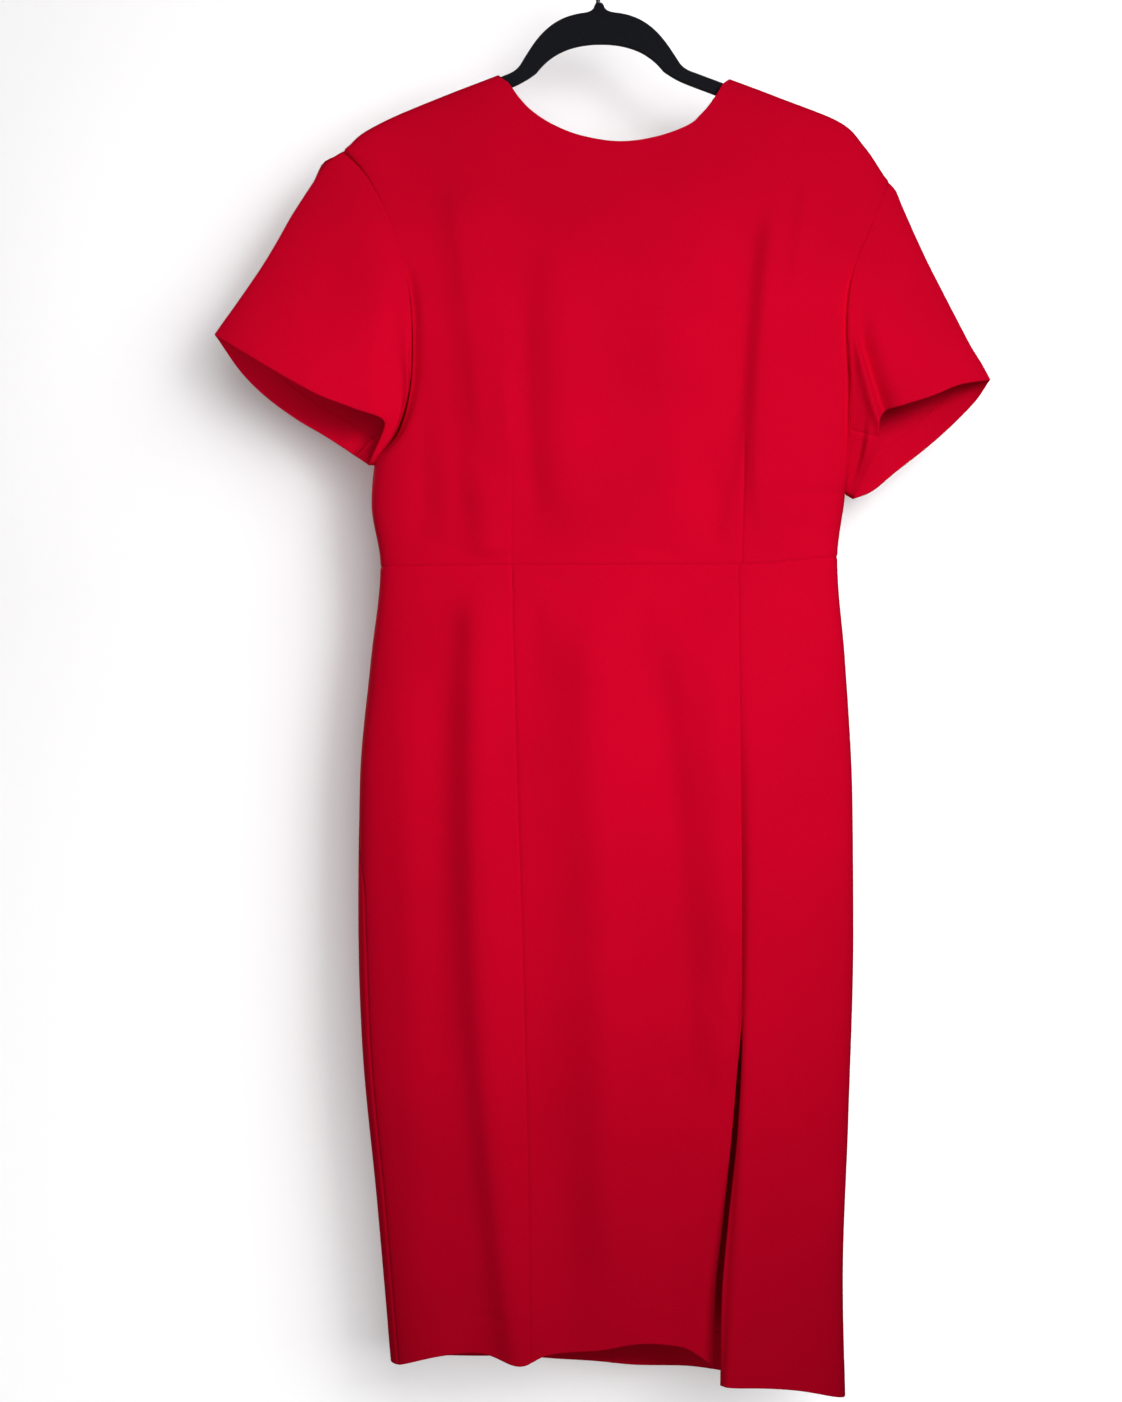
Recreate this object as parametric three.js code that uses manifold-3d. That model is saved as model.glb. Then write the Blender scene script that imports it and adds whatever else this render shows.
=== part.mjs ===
import * as THREE from "three";
import { mergeVertices } from "three/addons/utils/BufferGeometryUtils.js";
import Module from "manifold-3d";

// A short-sleeved sheath dress hung on a flat clothes hanger. Millimetres, +Z up: the front of the
// dress faces -Y and the wearer's left side is at +X. The origin is the point of the hook that bears
// on its rail. Every panel of cloth is a thin closed wall made from points of one body surface or of
// one sleeve surface, so neighbouring panels follow the same curve on both sides of their seam.

const clothWall = 1.5;
const seamGap = 0.4;
const seamHalf = seamGap / 2;
const armholeGap = 0.9; // between the middle surfaces of a sleeve and the bodice at the shoulder
const underarmGap = 1.1; // added towards the underarm, where they meet at a sharper angle
const aroundStep = 0.002; // steps over which the body's slope is measured
const heightStep = 1;
const sleeveStep = 0.01;
const edgeReach = 0.01; // share across within which a point counts as on the side of the body
const armholeInset = 0.04; // the share across over which the bodice's edge slope is smoothed

// A table as objects, from the names of its columns and its rows of numbers.
function readRows(names, ...rows) {
  const columns = names.split(" ");
  return rows.map((row) => Object.fromEntries(columns.map((name, i) => [name, row[i]])));
}

// ---- Section depths of the body, down the dress. `front` and `back` are how far each face stands
// from the middle plane, and `round` is the power that squares its section: small is boxy.
const sections = [
  { z: -142, front: 12, back: 12, round: 0.45 },
  { z: -200, front: 16, back: 15, round: 0.5 },
  { z: -260, front: 27, back: 23, round: 1.4 },
  { z: -330, front: 37, back: 29, round: 1.8 },
  { z: -400, front: 43, back: 31, round: 1.8 },
  { z: -460, front: 43, back: 32, round: 1.3 },
  { z: -512, front: 38, back: 30, round: 0.75 },
  { z: -575, front: 33, back: 29, round: 0.75 },
  { z: -660, front: 37, back: 34, round: 0.75 },
  { z: -780, front: 42, back: 39, round: 0.75 },
  { z: -950, front: 43, back: 38, round: 0.75 },
  { z: -1100, front: 42, back: 34, round: 0.75 },
  { z: -1310, front: 44, back: 33, round: 0.75 },
];

// ---- The edge of the bodice and skirt on each side, from the neck point down: shoulder seam,
// armhole seam, then side seam. `front` and `back` are x, and differ round the armhole.
const rightEdge = [
  { z: -142.3, front: -86.7, back: -86.7 },
  { z: -163.5, front: -141.6, back: -141.6 },
  { z: -184.7, front: -191, back: -191 },
  { z: -195.4, front: -209.7, back: -209.7 },
  { z: -204.7, front: -219.6, back: -219.6 },
  { z: -208.7, front: -223.9, back: -223.9 },
  { z: -212, front: -221, back: -221.8 },
  { z: -225.5, front: -208.8, back: -211.5 },
  { z: -245.5, front: -196.4, back: -202 },
  { z: -271, front: -184.3, back: -195 },
  { z: -299, front: -175, back: -190 },
  { z: -326, front: -167.5, back: -186 },
  { z: -372, front: -163.7, back: -183.5 },
  { z: -403, front: -164.5, back: -182.5 },
  { z: -427, front: -167.8, back: -183.5 },
  { z: -457, front: -178.2, back: -188 },
  { z: -487.4, front: -197.5, back: -197.5 },
  { z: -521, front: -199.8, back: -199.8 },
  { z: -575, front: -192, back: -192 },
  { z: -660, front: -200.5, back: -200.5 },
  { z: -765, front: -210, back: -210 },
  { z: -880, front: -211.5, back: -211.5 },
  { z: -1000, front: -208, back: -208 },
  { z: -1137, front: -195, back: -195 },
  { z: -1280, front: -182.5, back: -182.5 },
];
const leftEdge = [
  { z: -145.8, front: 115, back: 115 },
  { z: -163.5, front: 162, back: 162 },
  { z: -184.7, front: 214.2, back: 214.2 },
  { z: -206, front: 235.4, back: 235.4 },
  { z: -231, front: 252.9, back: 252.9 },
  { z: -237, front: 257, back: 257 },
  { z: -240.5, front: 255.8, back: 256 },
  { z: -260, front: 248, back: 250 },
  { z: -283, front: 238.5, back: 243.5 },
  { z: -311, front: 226.5, back: 238 },
  { z: -337, front: 221, back: 234.5 },
  { z: -368, front: 219.2, back: 232 },
  { z: -427, front: 221.8, back: 231 },
  { z: -450, front: 221.8, back: 229.5 },
  { z: -486, front: 219.5, back: 224 },
  { z: -512.2, front: 218, back: 218 },
  { z: -570, front: 211.2, back: 211.2 },
  { z: -660, front: 218, back: 218 },
  { z: -783, front: 224.5, back: 224.5 },
  { z: -900, front: 225.3, back: 225.3 },
  { z: -1066, front: 220.8, back: 220.8 },
  { z: -1208, front: 216, back: 216 },
  { z: -1310, front: 218, back: 218 },
];

// ---- Heights where the edges change: neck point, shoulder tip, underarm.
const rightMarks = { neck: -142.3, shoulder: -208.7, underarm: -487.4 };
const leftMarks = { neck: -145.8, shoulder: -237, underarm: -512.2 };
const armholeDepth = 25;
const armholeRound = 0.75;
const armholeNear = 1; // nearer the middle plane than this, an armhole edge counts as the side
const armholeSteps = 14;
const shoulderSteps = 5;
const sideSteps = 4;
const skirtRows = 18;

// ---- Neckline: its height at each share of the way across, from the right neck point to the left.
const neckline = [
  { across: 0, z: -142.3 },
  { across: 0.18, z: -147.5 },
  { across: 0.225, z: -150.2 },
  { across: 0.274, z: -155.4 },
  { across: 0.336, z: -166.3 },
  { across: 0.38, z: -177.1 },
  { across: 0.421, z: -187.9 },
  { across: 0.471, z: -198.7 },
  { across: 0.517, z: -203.2 },
  { across: 0.562, z: -198.6 },
  { across: 0.607, z: -187.8 },
  { across: 0.635, z: -177 },
  { across: 0.66, z: -171.6 },
  { across: 0.724, z: -160.8 },
  { across: 0.768, z: -155.3 },
  { across: 0.846, z: -149.6 },
  { across: 1, z: -145.8 },
];
const backNeckDrop = 3;

// ---- The centre back seam, nearly straight down.
const centreBack = [
  { z: -145, x: 14 },
  { z: -575, x: 9 },
  { z: -1310, x: 14 },
];

// ---- Waist seam and hems, by x. The hem of the left front panel hangs lower than the others'.
const waist = [
  { x: -192, z: -576.8 },
  { x: 124, z: -575.8 },
  { x: 211, z: -568.2 },
];
const frontHem = [
  { x: -176, z: -1279 },
  { x: -140, z: -1268.5 },
  { x: -104, z: -1264 },
  { x: -68, z: -1272.5 },
  { x: -45, z: -1264 },
  { x: 2, z: -1260 },
  { x: 38, z: -1254.5 },
  { x: 72, z: -1259.5 },
  { x: 100, z: -1278 },
];
const leftPanelHem = [
  { x: 108, z: -1290 },
  { x: 143, z: -1294 },
  { x: 179, z: -1299 },
  { x: 217, z: -1309.5 },
];
const backHem = [
  { x: -176, z: -1279 },
  { x: 0, z: -1287.5 },
  { x: 60, z: -1292 },
  { x: 110, z: -1296 },
  { x: 217, z: -1309.5 },
];

// ---- Seams that run down the skirt. Below the slit's top the left seam opens into two edges.
const slitTop = -980;
const skirtSeams = [
  { z: -560, right: -76, slitInner: 124, slitOuter: 124, sideShift: 0 },
  { z: -780, right: -70, slitInner: 126, slitOuter: 126, sideShift: 0 },
  { z: -870, right: -67, slitInner: 126.6, slitOuter: 126.6, sideShift: 0.075 },
  { z: -980, right: -64, slitInner: 127, slitOuter: 127, sideShift: 0.085 },
  { z: -1050, right: -62, slitInner: 121, slitOuter: 125, sideShift: 0.085 },
  { z: -1150, right: -60, slitInner: 112, slitOuter: 118, sideShift: 0.085 },
  { z: -1220, right: -59, slitInner: 106, slitOuter: 111, sideShift: 0.085 },
  { z: -1300, right: -58, slitInner: 100, slitOuter: 107, sideShift: 0.085 },
];
const slitSink = 16; // how far the inner edge of the slit falls back at the hem
const slitLift = 5; // how far the outer edge stands forward there
const slitReach = 45; // width of cloth that bends with it

// ---- The largest folds, each a soft trough from a top point to an end point, bowed sideways half
// way. A negative depth is a ridge. A fold may be steeper on one flank than on the other, and one
// whose `endFade` is 0 runs out through the hem. `face` is -1 on the front and 1 on the back.
const folds = readRows(
  "face topX topZ endX endZ bow rightWide leftWide depth topFade endFade",
  [-1, -128, -235, -98, -490, 0, 20, 30, -4, 50, 70],
  [-1, -34, -262, -25, -560, -3, 20, 26, -3.5, 60, 50],
  [-1, 71, -290, 66, -565, -4, 26, 26, -2.5, 90, 40],
  [-1, 131, -262, 97, -560, 10, 22, 12, 3, 60, 50],
  [-1, 157, -255, 141, -560, -9, 14, 38, -5, 50, 60],
  [-1, -109, -590, -66, -1310, -13, 19, 26, -7.5, 70, 0],
  [-1, -141, -640, -141, -1080, 0, 22, 16, 3, 80, 150],
  [-1, -12, -600, 8, -1240, 4, 30, 30, -5, 80, 120],
  [-1, 48, -620, 86, -1100, 8, 26, 16, 3.2, 80, 120],
  [-1, 138, -690, 112, -1320, 6, 14, 42, -5.5, 200, 0],
  [1, -90, -610, -72, -1300, 8, 30, 22, -6, 90, 0],
  [1, -30, -640, -42, -1180, -6, 26, 30, 4, 80, 140],
  [1, 96, -630, 84, -1320, -9, 24, 34, -6.5, 110, 0],
  [1, 160, -700, 150, -1150, 5, 26, 20, 3, 100, 150],
  [1, -118, -270, -84, -545, 6, 22, 30, -4, 70, 60],
  [1, 132, -290, 100, -540, -5, 28, 20, -4, 80, 60],
  [1, 48, -250, 40, -500, 4, 24, 24, 3, 80, 90],
);

// ---- Sleeves: the cuff ring, at equal shares of the way from the tip down to the underarm. The
// armhole ring is read from the edge tables, so a sleeve and the bodice share it.
const rightCuff = [
  { share: 0, frontX: -339, frontZ: -371.5, backX: -339, backZ: -371.5 },
  { share: 1 / 6, frontX: -311, frontZ: -389.5, backX: -318.6, backZ: -401.5 },
  { share: 2 / 6, frontX: -279, frontZ: -409, backX: -297.4, backZ: -422.8 },
  { share: 3 / 6, frontX: -244.5, frontZ: -428, backX: -271, backZ: -442.3 },
  { share: 4 / 6, frontX: -212.5, frontZ: -440, backX: -244.3, backZ: -458.2 },
  { share: 5 / 6, frontX: -188, frontZ: -452, backX: -219, backZ: -475 },
  { share: 1, frontX: -203, frontZ: -486.5, backX: -203, backZ: -486.5 },
];
const leftCuff = [
  { share: 0, frontX: 347, frontZ: -411.5, backX: 347, backZ: -411.5 },
  { share: 1 / 6, frontX: 318, frontZ: -417.5, backX: 337, backZ: -428 },
  { share: 2 / 6, frontX: 292, frontZ: -428.5, backX: 317, backZ: -449 },
  { share: 3 / 6, frontX: 267, frontZ: -436.5, backX: 294.7, backZ: -468.8 },
  { share: 4 / 6, frontX: 249, frontZ: -443, backX: 270, backZ: -488.3 },
  { share: 5 / 6, frontX: 244.5, frontZ: -470, backX: 246, backZ: -507.8 },
  { share: 1, frontX: 226.5, frontZ: -516.5, backX: 226.5, backZ: -516.5 },
];
const cuffDepth = 30;
const sleeveSteps = 8;

// ---- How far the top of each sleeve stands out from the straight line between its ends.
const sleeveHead = [
  { along: 0, right: 0, left: 0 },
  { along: 0.05, right: 4.5, left: 2.3 },
  { along: 0.1, right: 6.8, left: 1.4 },
  { along: 0.25, right: 6.1, left: -0.5 },
  { along: 0.375, right: 5, left: -1.6 },
  { along: 0.5, right: 2.4, left: -1.9 },
  { along: 0.65, right: 0.4, left: -1.9 },
  { along: 0.8, right: 0, left: -1.8 },
  { along: 0.92, right: 0, left: -0.4 },
  { along: 1, right: 0, left: 0 },
];

// ---- Hanger, flat and plain, with a wire hook.
const hangerThick = 6;
const hangerBevel = 1.3;
const hangerTilt = 0.013; // radians, wearer's left arm up
const armSlope = 0.392;
const armLine = -107.8; // height where the upper edges of the arms would meet
const armHigh = 13;
const armStart = 84;
const armReach = 188;
const archTop = -85.6;
const archInside = -114.4;
const archHalf = 70;
const collarTop = -77.5;
const hookSeat = 0.3; // from the collar to the end of the wire
const hookWire = 3.8;
const hookInner = 21;

// ---- Zip slider and pull tab at the top of the centre back.
const seatGap = 0.6; // from the cloth's wall at the seam to the slider's back
const zipDown = 9; // from the back neckline to the slider's middle
const slider = { wide: 7, high: 11, thick: 2.6, bridgeWide: 2.2, bridgeHigh: 8, bridgeOut: 6.2 };
const tab = { wide: 7.2, barWide: 1, thick: 1, window: 5, length: 24, railWide: 1.2 };
const bridgeStrip = 1.2;
const zipBite = 0.4; // how far joined pieces of the zip run into each other

const foldTaper = 1.5; // the power by which folds die away towards the sides

const clothRed = 0xcc0026;
const hangerBlack = 0x1e1f24;

// The value of a column of a table at one place, by a smooth curve that never overshoots its rows.
function readTable(rows, by, column, at) {
  const forwards = rows[rows.length - 1][by] > rows[0][by] ? 1 : -1;
  const slope = (i) => (rows[i + 1][column] - rows[i][column]) / (rows[i + 1][by] - rows[i][by]);
  const found = rows.findIndex((row) => (row[by] - at) * forwards > 0);
  const last = rows.length - 2;
  if (found === 0) return rows[0][column] + slope(0) * (at - rows[0][by]);
  if (found < 0) return rows[last + 1][column] + slope(last) * (at - rows[last + 1][by]);
  const i = found - 1;
  const bend = (k) => {
    if (k === 0) return slope(0);
    if (k === last + 1) return slope(last);
    const before = slope(k - 1);
    const after = slope(k);
    return before * after <= 0 ? 0 : (2 * before * after) / (before + after);
  };
  const span = rows[i + 1][by] - rows[i][by];
  const t = (at - rows[i][by]) / span;
  const start = rows[i][column] + t * span * bend(i);
  const end = rows[i + 1][column] - (1 - t) * span * bend(i + 1);
  const ease = t * t * (3 - 2 * t);
  return start * (1 - ease) + end * ease;
}

const lerp = THREE.MathUtils.lerp;
const smooth = (t) => THREE.MathUtils.smoothstep(t, 0, 1);
const power = (base, by) => Math.pow(Math.max(base, 0), by);

// How far the armhole ring stands from the middle plane at a height, zero away from the armhole.
function armholeStand(marks, z) {
  const t = (marks.shoulder - z) / (marks.shoulder - marks.underarm);
  return t <= 0 || t >= 1 ? 0 : armholeDepth * power(Math.sin(Math.PI * t), armholeRound);
}

// How far the folds of one face move its cloth towards the middle plane.
function foldDepth(face, x, z) {
  let total = 0;
  for (const fold of folds) {
    if (fold.face !== face || z > fold.topZ || z < fold.endZ) continue;
    const down = (fold.topZ - z) / (fold.topZ - fold.endZ);
    const middle = lerp(fold.topX, fold.endX, down) + fold.bow * Math.sin(Math.PI * down);
    const wide = x < middle ? fold.rightWide : fold.leftWide;
    const atTop = smooth((fold.topZ - z) / fold.topFade);
    const atEnd = fold.endFade === 0 ? 1 : smooth((z - fold.endZ) / fold.endFade);
    total += fold.depth * atTop * atEnd * Math.exp(-(((x - middle) / wide) ** 2));
  }
  return total;
}

// A point of the body surface: `across` runs from the right edge, 0, to the left edge, 1.
function facePoint(face, across, z) {
  const side = face < 0 ? "front" : "back";
  const right = readTable(rightEdge, "z", side, z);
  const left = readTable(leftEdge, "z", side, z);
  const half = (left - right) / 2;
  const x = (left + right) / 2 - half * Math.cos(Math.PI * across);
  const stand = lerp(armholeStand(rightMarks, z), armholeStand(leftMarks, z), across);
  const depth = Math.max(readTable(sections, "z", side, z), stand);
  const round = readTable(sections, "z", "round", z);
  const bulge = Math.sin(Math.PI * across);
  const shaped = stand + (depth - stand) * power(bulge, round);
  const folded = foldDepth(face, x, z) * power(bulge, foldTaper);
  return new THREE.Vector3(x, face * (shaped - folded), z);
}

// A point of the closed ring round the body: 0 to 1 across the front, 1 to 2 back across the back.
function ringPoint(around, z) {
  const turn = ((around % 2) + 2) % 2;
  return turn <= 1 ? facePoint(-1, turn, z) : facePoint(1, 2 - turn, z);
}

// The place round the ring, on one face, that lies at x.
function aroundAt(face, x, z) {
  const side = face < 0 ? "front" : "back";
  const right = readTable(rightEdge, "z", side, z);
  const left = readTable(leftEdge, "z", side, z);
  const turned = THREE.MathUtils.clamp((left + right - 2 * x) / (left - right), -1, 1);
  const across = Math.acos(turned) / Math.PI;
  return face < 0 ? across : 2 - across;
}

const backSeamAt = (z) => aroundAt(1, readTable(centreBack, "z", "x", z), z);

// The outward unit normal of the body at a place round it. Between the shoulder and the underarm the
// face ends at the armhole, so the slope is taken a little inside that edge. Elsewhere the two faces
// share the slope of the edge between them.
function outwardAt(surface, around, z) {
  const side = Math.cos(Math.PI * around) > 0 ? rightMarks : leftMarks;
  const inArmhole = armholeStand(side, z) > armholeNear;
  const face = Math.floor(around);
  const edge = Math.round(around);
  const onEdge = Math.abs(around - edge) < edgeReach;
  const inside = THREE.MathUtils.clamp(around, face + armholeInset, face + 1 - armholeInset);
  const place = inArmhole ? inside : onEdge ? edge : around;
  const round = surface(place + aroundStep, z).sub(surface(place - aroundStep, z));
  const up = surface(place, z + heightStep).sub(surface(place, z - heightStep));
  return round.cross(up).normalize();
}

// A closed wall from a grid of middle points and their normals. Each is { at, out }. A wrapped grid
// joins its last column to its first.
function wallGeometry(grid, wrapped = false) {
  const rows = grid.length;
  const columns = grid[0].length;
  const positions = [];
  for (const offset of [clothWall / 2, -clothWall / 2])
    for (const row of grid)
      for (const { at, out } of row) positions.push(...at.clone().addScaledVector(out, offset));
  const inner = rows * columns;
  const index = [];
  const quad = (a, b, c, d) => index.push(a, c, b, a, d, c);
  const lastColumn = wrapped ? columns : columns - 1;
  for (let r = 0; r < rows - 1; r += 1)
    for (let c = 0; c < lastColumn; c += 1) {
      const here = r * columns + c;
      const next = r * columns + ((c + 1) % columns);
      quad(here, next, next + columns, here + columns);
      quad(inner + here, inner + here + columns, inner + next + columns, inner + next);
    }
  for (let c = 0; c < lastColumn; c += 1) {
    const next = (c + 1) % columns;
    const end = (rows - 1) * columns;
    quad(c, inner + c, inner + next, next);
    quad(end + next, inner + end + next, inner + end + c, end + c);
  }
  if (!wrapped)
    for (let r = 0; r < rows - 1; r += 1) {
      const start = r * columns;
      const end = start + columns - 1;
      quad(start + columns, inner + start + columns, inner + start, start);
      quad(end, inner + end, inner + end + columns, end + columns);
    }
  const geometry = new THREE.BufferGeometry();
  geometry.setAttribute("position", new THREE.Float32BufferAttribute(positions, 3));
  geometry.setIndex(index);
  return geometry;
}

const clothMaterial = () => new THREE.MeshStandardMaterial({ color: clothRed, roughness: 0.85 });

// A panel of the body: `place` gives [around, z] for each share across and down.
function bodyPanel(name, columns, rows, place, surface = ringPoint) {
  const grid = [];
  for (let r = 0; r <= rows; r += 1) {
    const row = [];
    for (let c = 0; c <= columns; c += 1) {
      const [around, z] = place(c / columns, r / rows);
      row.push({ at: surface(around, z), out: outwardAt(surface, around, z) });
    }
    grid.push(row);
  }
  return meshOf(name, wallGeometry(grid), clothMaterial());
}

function meshOf(name, geometry, material) {
  const mesh = new THREE.Mesh(geometry, material);
  mesh.name = name;
  return mesh;
}

// The heights of a side's rows, from the waist up: to the underarm, round the armhole, up the shoulder.
function sideLevels(marks, waistZ) {
  const levels = [];
  for (let i = 0; i < sideSteps; i += 1) levels.push(lerp(waistZ, marks.underarm, i / sideSteps));
  for (let i = 0; i < armholeSteps; i += 1)
    levels.push(lerp(marks.underarm, marks.shoulder, i / armholeSteps));
  for (let i = 0; i <= shoulderSteps; i += 1)
    levels.push(lerp(marks.shoulder, marks.neck, i / shoulderSteps));
  return levels;
}

const bodiceRows = sideSteps + armholeSteps + shoulderSteps;
const waistAt = (x) => readTable(waist, "x", "z", x);
const waistHigh = -570;

// The height of a bodice row at a share across: the rows of the two sides, drawn down to the neckline.
function bodiceHeight(face, across, row) {
  const waistZ = waistAt(facePoint(face, across, waistHigh).x) + seamGap;
  const right = sideLevels(rightMarks, waistZ)[row];
  const left = sideLevels(leftMarks, waistZ)[row];
  const level = lerp(right, left, across);
  const edgeTop = lerp(rightMarks.neck, leftMarks.neck, across);
  const drop = face > 0 ? backNeckDrop * Math.sin(Math.PI * across) : 0;
  const top = readTable(neckline, "across", "z", across) - drop;
  return waistZ + ((level - waistZ) * (top - waistZ)) / (edgeTop - waistZ);
}

// A place moved off a seam by half the seam's gap, along the cloth, one way round or the other.
function besideSeam(around, z, way) {
  const seam = ringPoint(around, z);
  let near = 0;
  let far = edgeReach;
  for (let i = 0; i < 20; i += 1) {
    const middle = (near + far) / 2;
    if (ringPoint(around + way * middle, z).distanceTo(seam) < seamHalf) near = middle;
    else far = middle;
  }
  return around + way * far;
}

function bodiceFront() {
  return bodyPanel("bodice_front", 20, bodiceRows, (u, v) => {
    const z = bodiceHeight(-1, u, Math.round(bodiceRows * (1 - v)));
    return [lerp(besideSeam(0, z, 1), besideSeam(1, z, -1), u), z];
  });
}

function bodiceBack(name, from, to) {
  return bodyPanel(name, 10, bodiceRows, (u, v) => {
    const rough = lerp(from(waistHigh), to(waistHigh), u);
    const z = bodiceHeight(1, 2 - rough, Math.round(bodiceRows * (1 - v)));
    return [lerp(besideSeam(from(z), z, 1), besideSeam(to(z), z, -1), u), z];
  });
}

const seamAt = (column, z) => readTable(skirtSeams, "z", column, z);
const hemLook = -1270;

// A skirt panel between two seams, given as places round the ring, from the waist to its hem.
function skirtPanel(name, columns, from, to, hem, surface = ringPoint) {
  const xAt = (u, z) => ringPoint(lerp(from(z), to(z), u), z).x;
  const place = (u, v) => {
    const top = waistAt(xAt(u, waistHigh)) - seamGap;
    const z = lerp(top, readTable(hem, "x", "z", xAt(u, hemLook)), v);
    return [lerp(besideSeam(from(z), z, 1), besideSeam(to(z), z, -1), u), z];
  };
  return bodyPanel(name, columns, skirtRows, place, surface);
}

// The body surface with one edge of the slit bent by `move`, more towards the hem and the edge.
function slitSurface(column, move) {
  return (around, z) => {
    const at = ringPoint(around, z);
    const down = smooth((slitTop - z) / (slitTop - hemLook));
    const near = smooth(1 - Math.abs(at.x - seamAt(column, z)) / slitReach);
    at.y += move * down * near;
    return at;
  };
}

function skirt() {
  const sideRight = (z) => seamAt("sideShift", z);
  const seamRight = (z) => aroundAt(-1, seamAt("right", z), z);
  const inner = (z) => aroundAt(-1, seamAt("slitInner", z), z);
  const outer = (z) => aroundAt(-1, seamAt("slitOuter", z), z);
  const left = () => 1;
  const innerEdge = slitSurface("slitInner", slitSink);
  const outerEdge = slitSurface("slitOuter", -slitLift);
  return [
    skirtPanel("skirt_front_right", 8, sideRight, seamRight, frontHem),
    skirtPanel("skirt_front_centre", 10, seamRight, inner, frontHem, innerEdge),
    skirtPanel("skirt_front_left", 7, outer, left, leftPanelHem, outerEdge),
    skirtPanel("skirt_back_left", 9, left, backSeamAt, backHem),
    skirtPanel("skirt_back_right", 10, backSeamAt, (z) => 2 + sideRight(z), backHem),
  ];
}

// The ring of a sleeve at its armhole or cuff, where `xAt` and `zAt` give x and z for a face and a
// share of the way down it, and `depth` is how far the ring stands from the middle plane.
function sleeveRing(around, depth, xAt, zAt) {
  const face = around <= 1 ? "front" : "back";
  const share = around <= 1 ? around : 2 - around;
  const out = depth * power(Math.sin(Math.PI * share), armholeRound);
  return new THREE.Vector3(xAt(face, share), face === "front" ? -out : out, zAt(face, share));
}

// A sleeve: a wall round the arm from the armhole ring to the cuff ring. `around` runs from the
// shoulder tip down the front to the underarm, 1, and up the back to the tip again, 2.
function sleeve(name, side, marks, edge, cuff) {
  const armholeZ = (face, share) => lerp(marks.shoulder, marks.underarm, share);
  const armholeX = (face, share) => readTable(edge, "z", face, armholeZ(face, share));
  const cuffX = (face, share) => readTable(cuff, "share", face + "X", share);
  const cuffZ = (face, share) => readTable(cuff, "share", face + "Z", share);
  const tip = sleeveRing(0, armholeDepth, armholeX, armholeZ);
  const topLine = sleeveRing(0, cuffDepth, cuffX, cuffZ).sub(tip).normalize();
  const away = Math.sign(topLine.x);
  const upwards = new THREE.Vector3(-topLine.z, 0, topLine.x).multiplyScalar(away);
  const point = (around, along) => {
    const turn = ((around % 2) + 2) % 2;
    const start = sleeveRing(turn, armholeDepth, armholeX, armholeZ);
    const end = sleeveRing(turn, cuffDepth, cuffX, cuffZ);
    const run = new THREE.Vector3().subVectors(end, start).normalize();
    const share = turn <= 1 ? turn : 2 - turn;
    start.addScaledVector(run, armholeGap + underarmGap * share ** 3);
    const swell = readTable(sleeveHead, "along", side, along) * (1 - share) ** 2;
    return start.lerp(end, along).addScaledVector(upwards, swell);
  };
  const grid = [];
  const columns = 2 * armholeSteps;
  for (let r = 0; r <= sleeveSteps; r += 1) {
    const along = r / sleeveSteps;
    const before = Math.max(along - sleeveStep, 0);
    const after = Math.min(along + sleeveStep, 1);
    const row = [];
    for (let c = 0; c < columns; c += 1) {
      const around = (2 * c) / columns;
      const round = point(around + sleeveStep, along).sub(point(around - sleeveStep, along));
      const run = point(around, after).sub(point(around, before));
      row.push({ at: point(around, along), out: round.cross(run).multiplyScalar(away).normalize() });
    }
    grid.push(away > 0 ? row.reverse() : row);
  }
  return meshOf(name, wallGeometry(grid, true), clothMaterial());
}

// The flat body of the hanger: sloping arms and the arch over the neck, as one outline with depth.
// Its numbers are the ends and control points of the outline's curves.
function hangerBody() {
  const onLine = (x, below = 0) => [x, armLine - armSlope * x - below];
  const outline = new THREE.Shape();
  outline.moveTo(4.4, collarTop);
  outline.quadraticCurveTo(5.4, archTop + 1, 15, archTop - 1);
  outline.bezierCurveTo(48, archTop - 4, 60, -112, archHalf, -131);
  outline.quadraticCurveTo(archHalf + 4, onLine(archHalf + 6)[1], ...onLine(armStart));
  outline.lineTo(...onLine(armReach));
  outline.quadraticCurveTo(...onLine(armReach + 10), ...onLine(armReach + 16, 5));
  outline.quadraticCurveTo(...onLine(armReach + 17, armHigh), ...onLine(armReach + 6, armHigh));
  outline.lineTo(...onLine(armStart - 6, armHigh));
  outline.quadraticCurveTo(...onLine(archHalf - 4, armHigh), archHalf - 14, -139);
  outline.bezierCurveTo(44, -123, 26, archInside, 0, archInside);
  const half = outline.getPoints(6);
  const mirrored = half.slice(0, -1).reverse().map((p) => new THREE.Vector2(-p.x, p.y));
  const geometry = new THREE.ExtrudeGeometry(new THREE.Shape([...half, ...mirrored]), {
    depth: hangerThick - 2 * hangerBevel,
    bevelThickness: hangerBevel,
    bevelSize: hangerBevel,
    bevelOffset: -hangerBevel,
    bevelSegments: 2,
  });
  geometry.translate(0, 0, hangerBevel - hangerThick / 2);
  geometry.rotateX(Math.PI / 2);
  const material = new THREE.MeshStandardMaterial({ color: hangerBlack, roughness: 0.8 });
  return meshOf("hanger_body", geometry, material);
}

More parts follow.
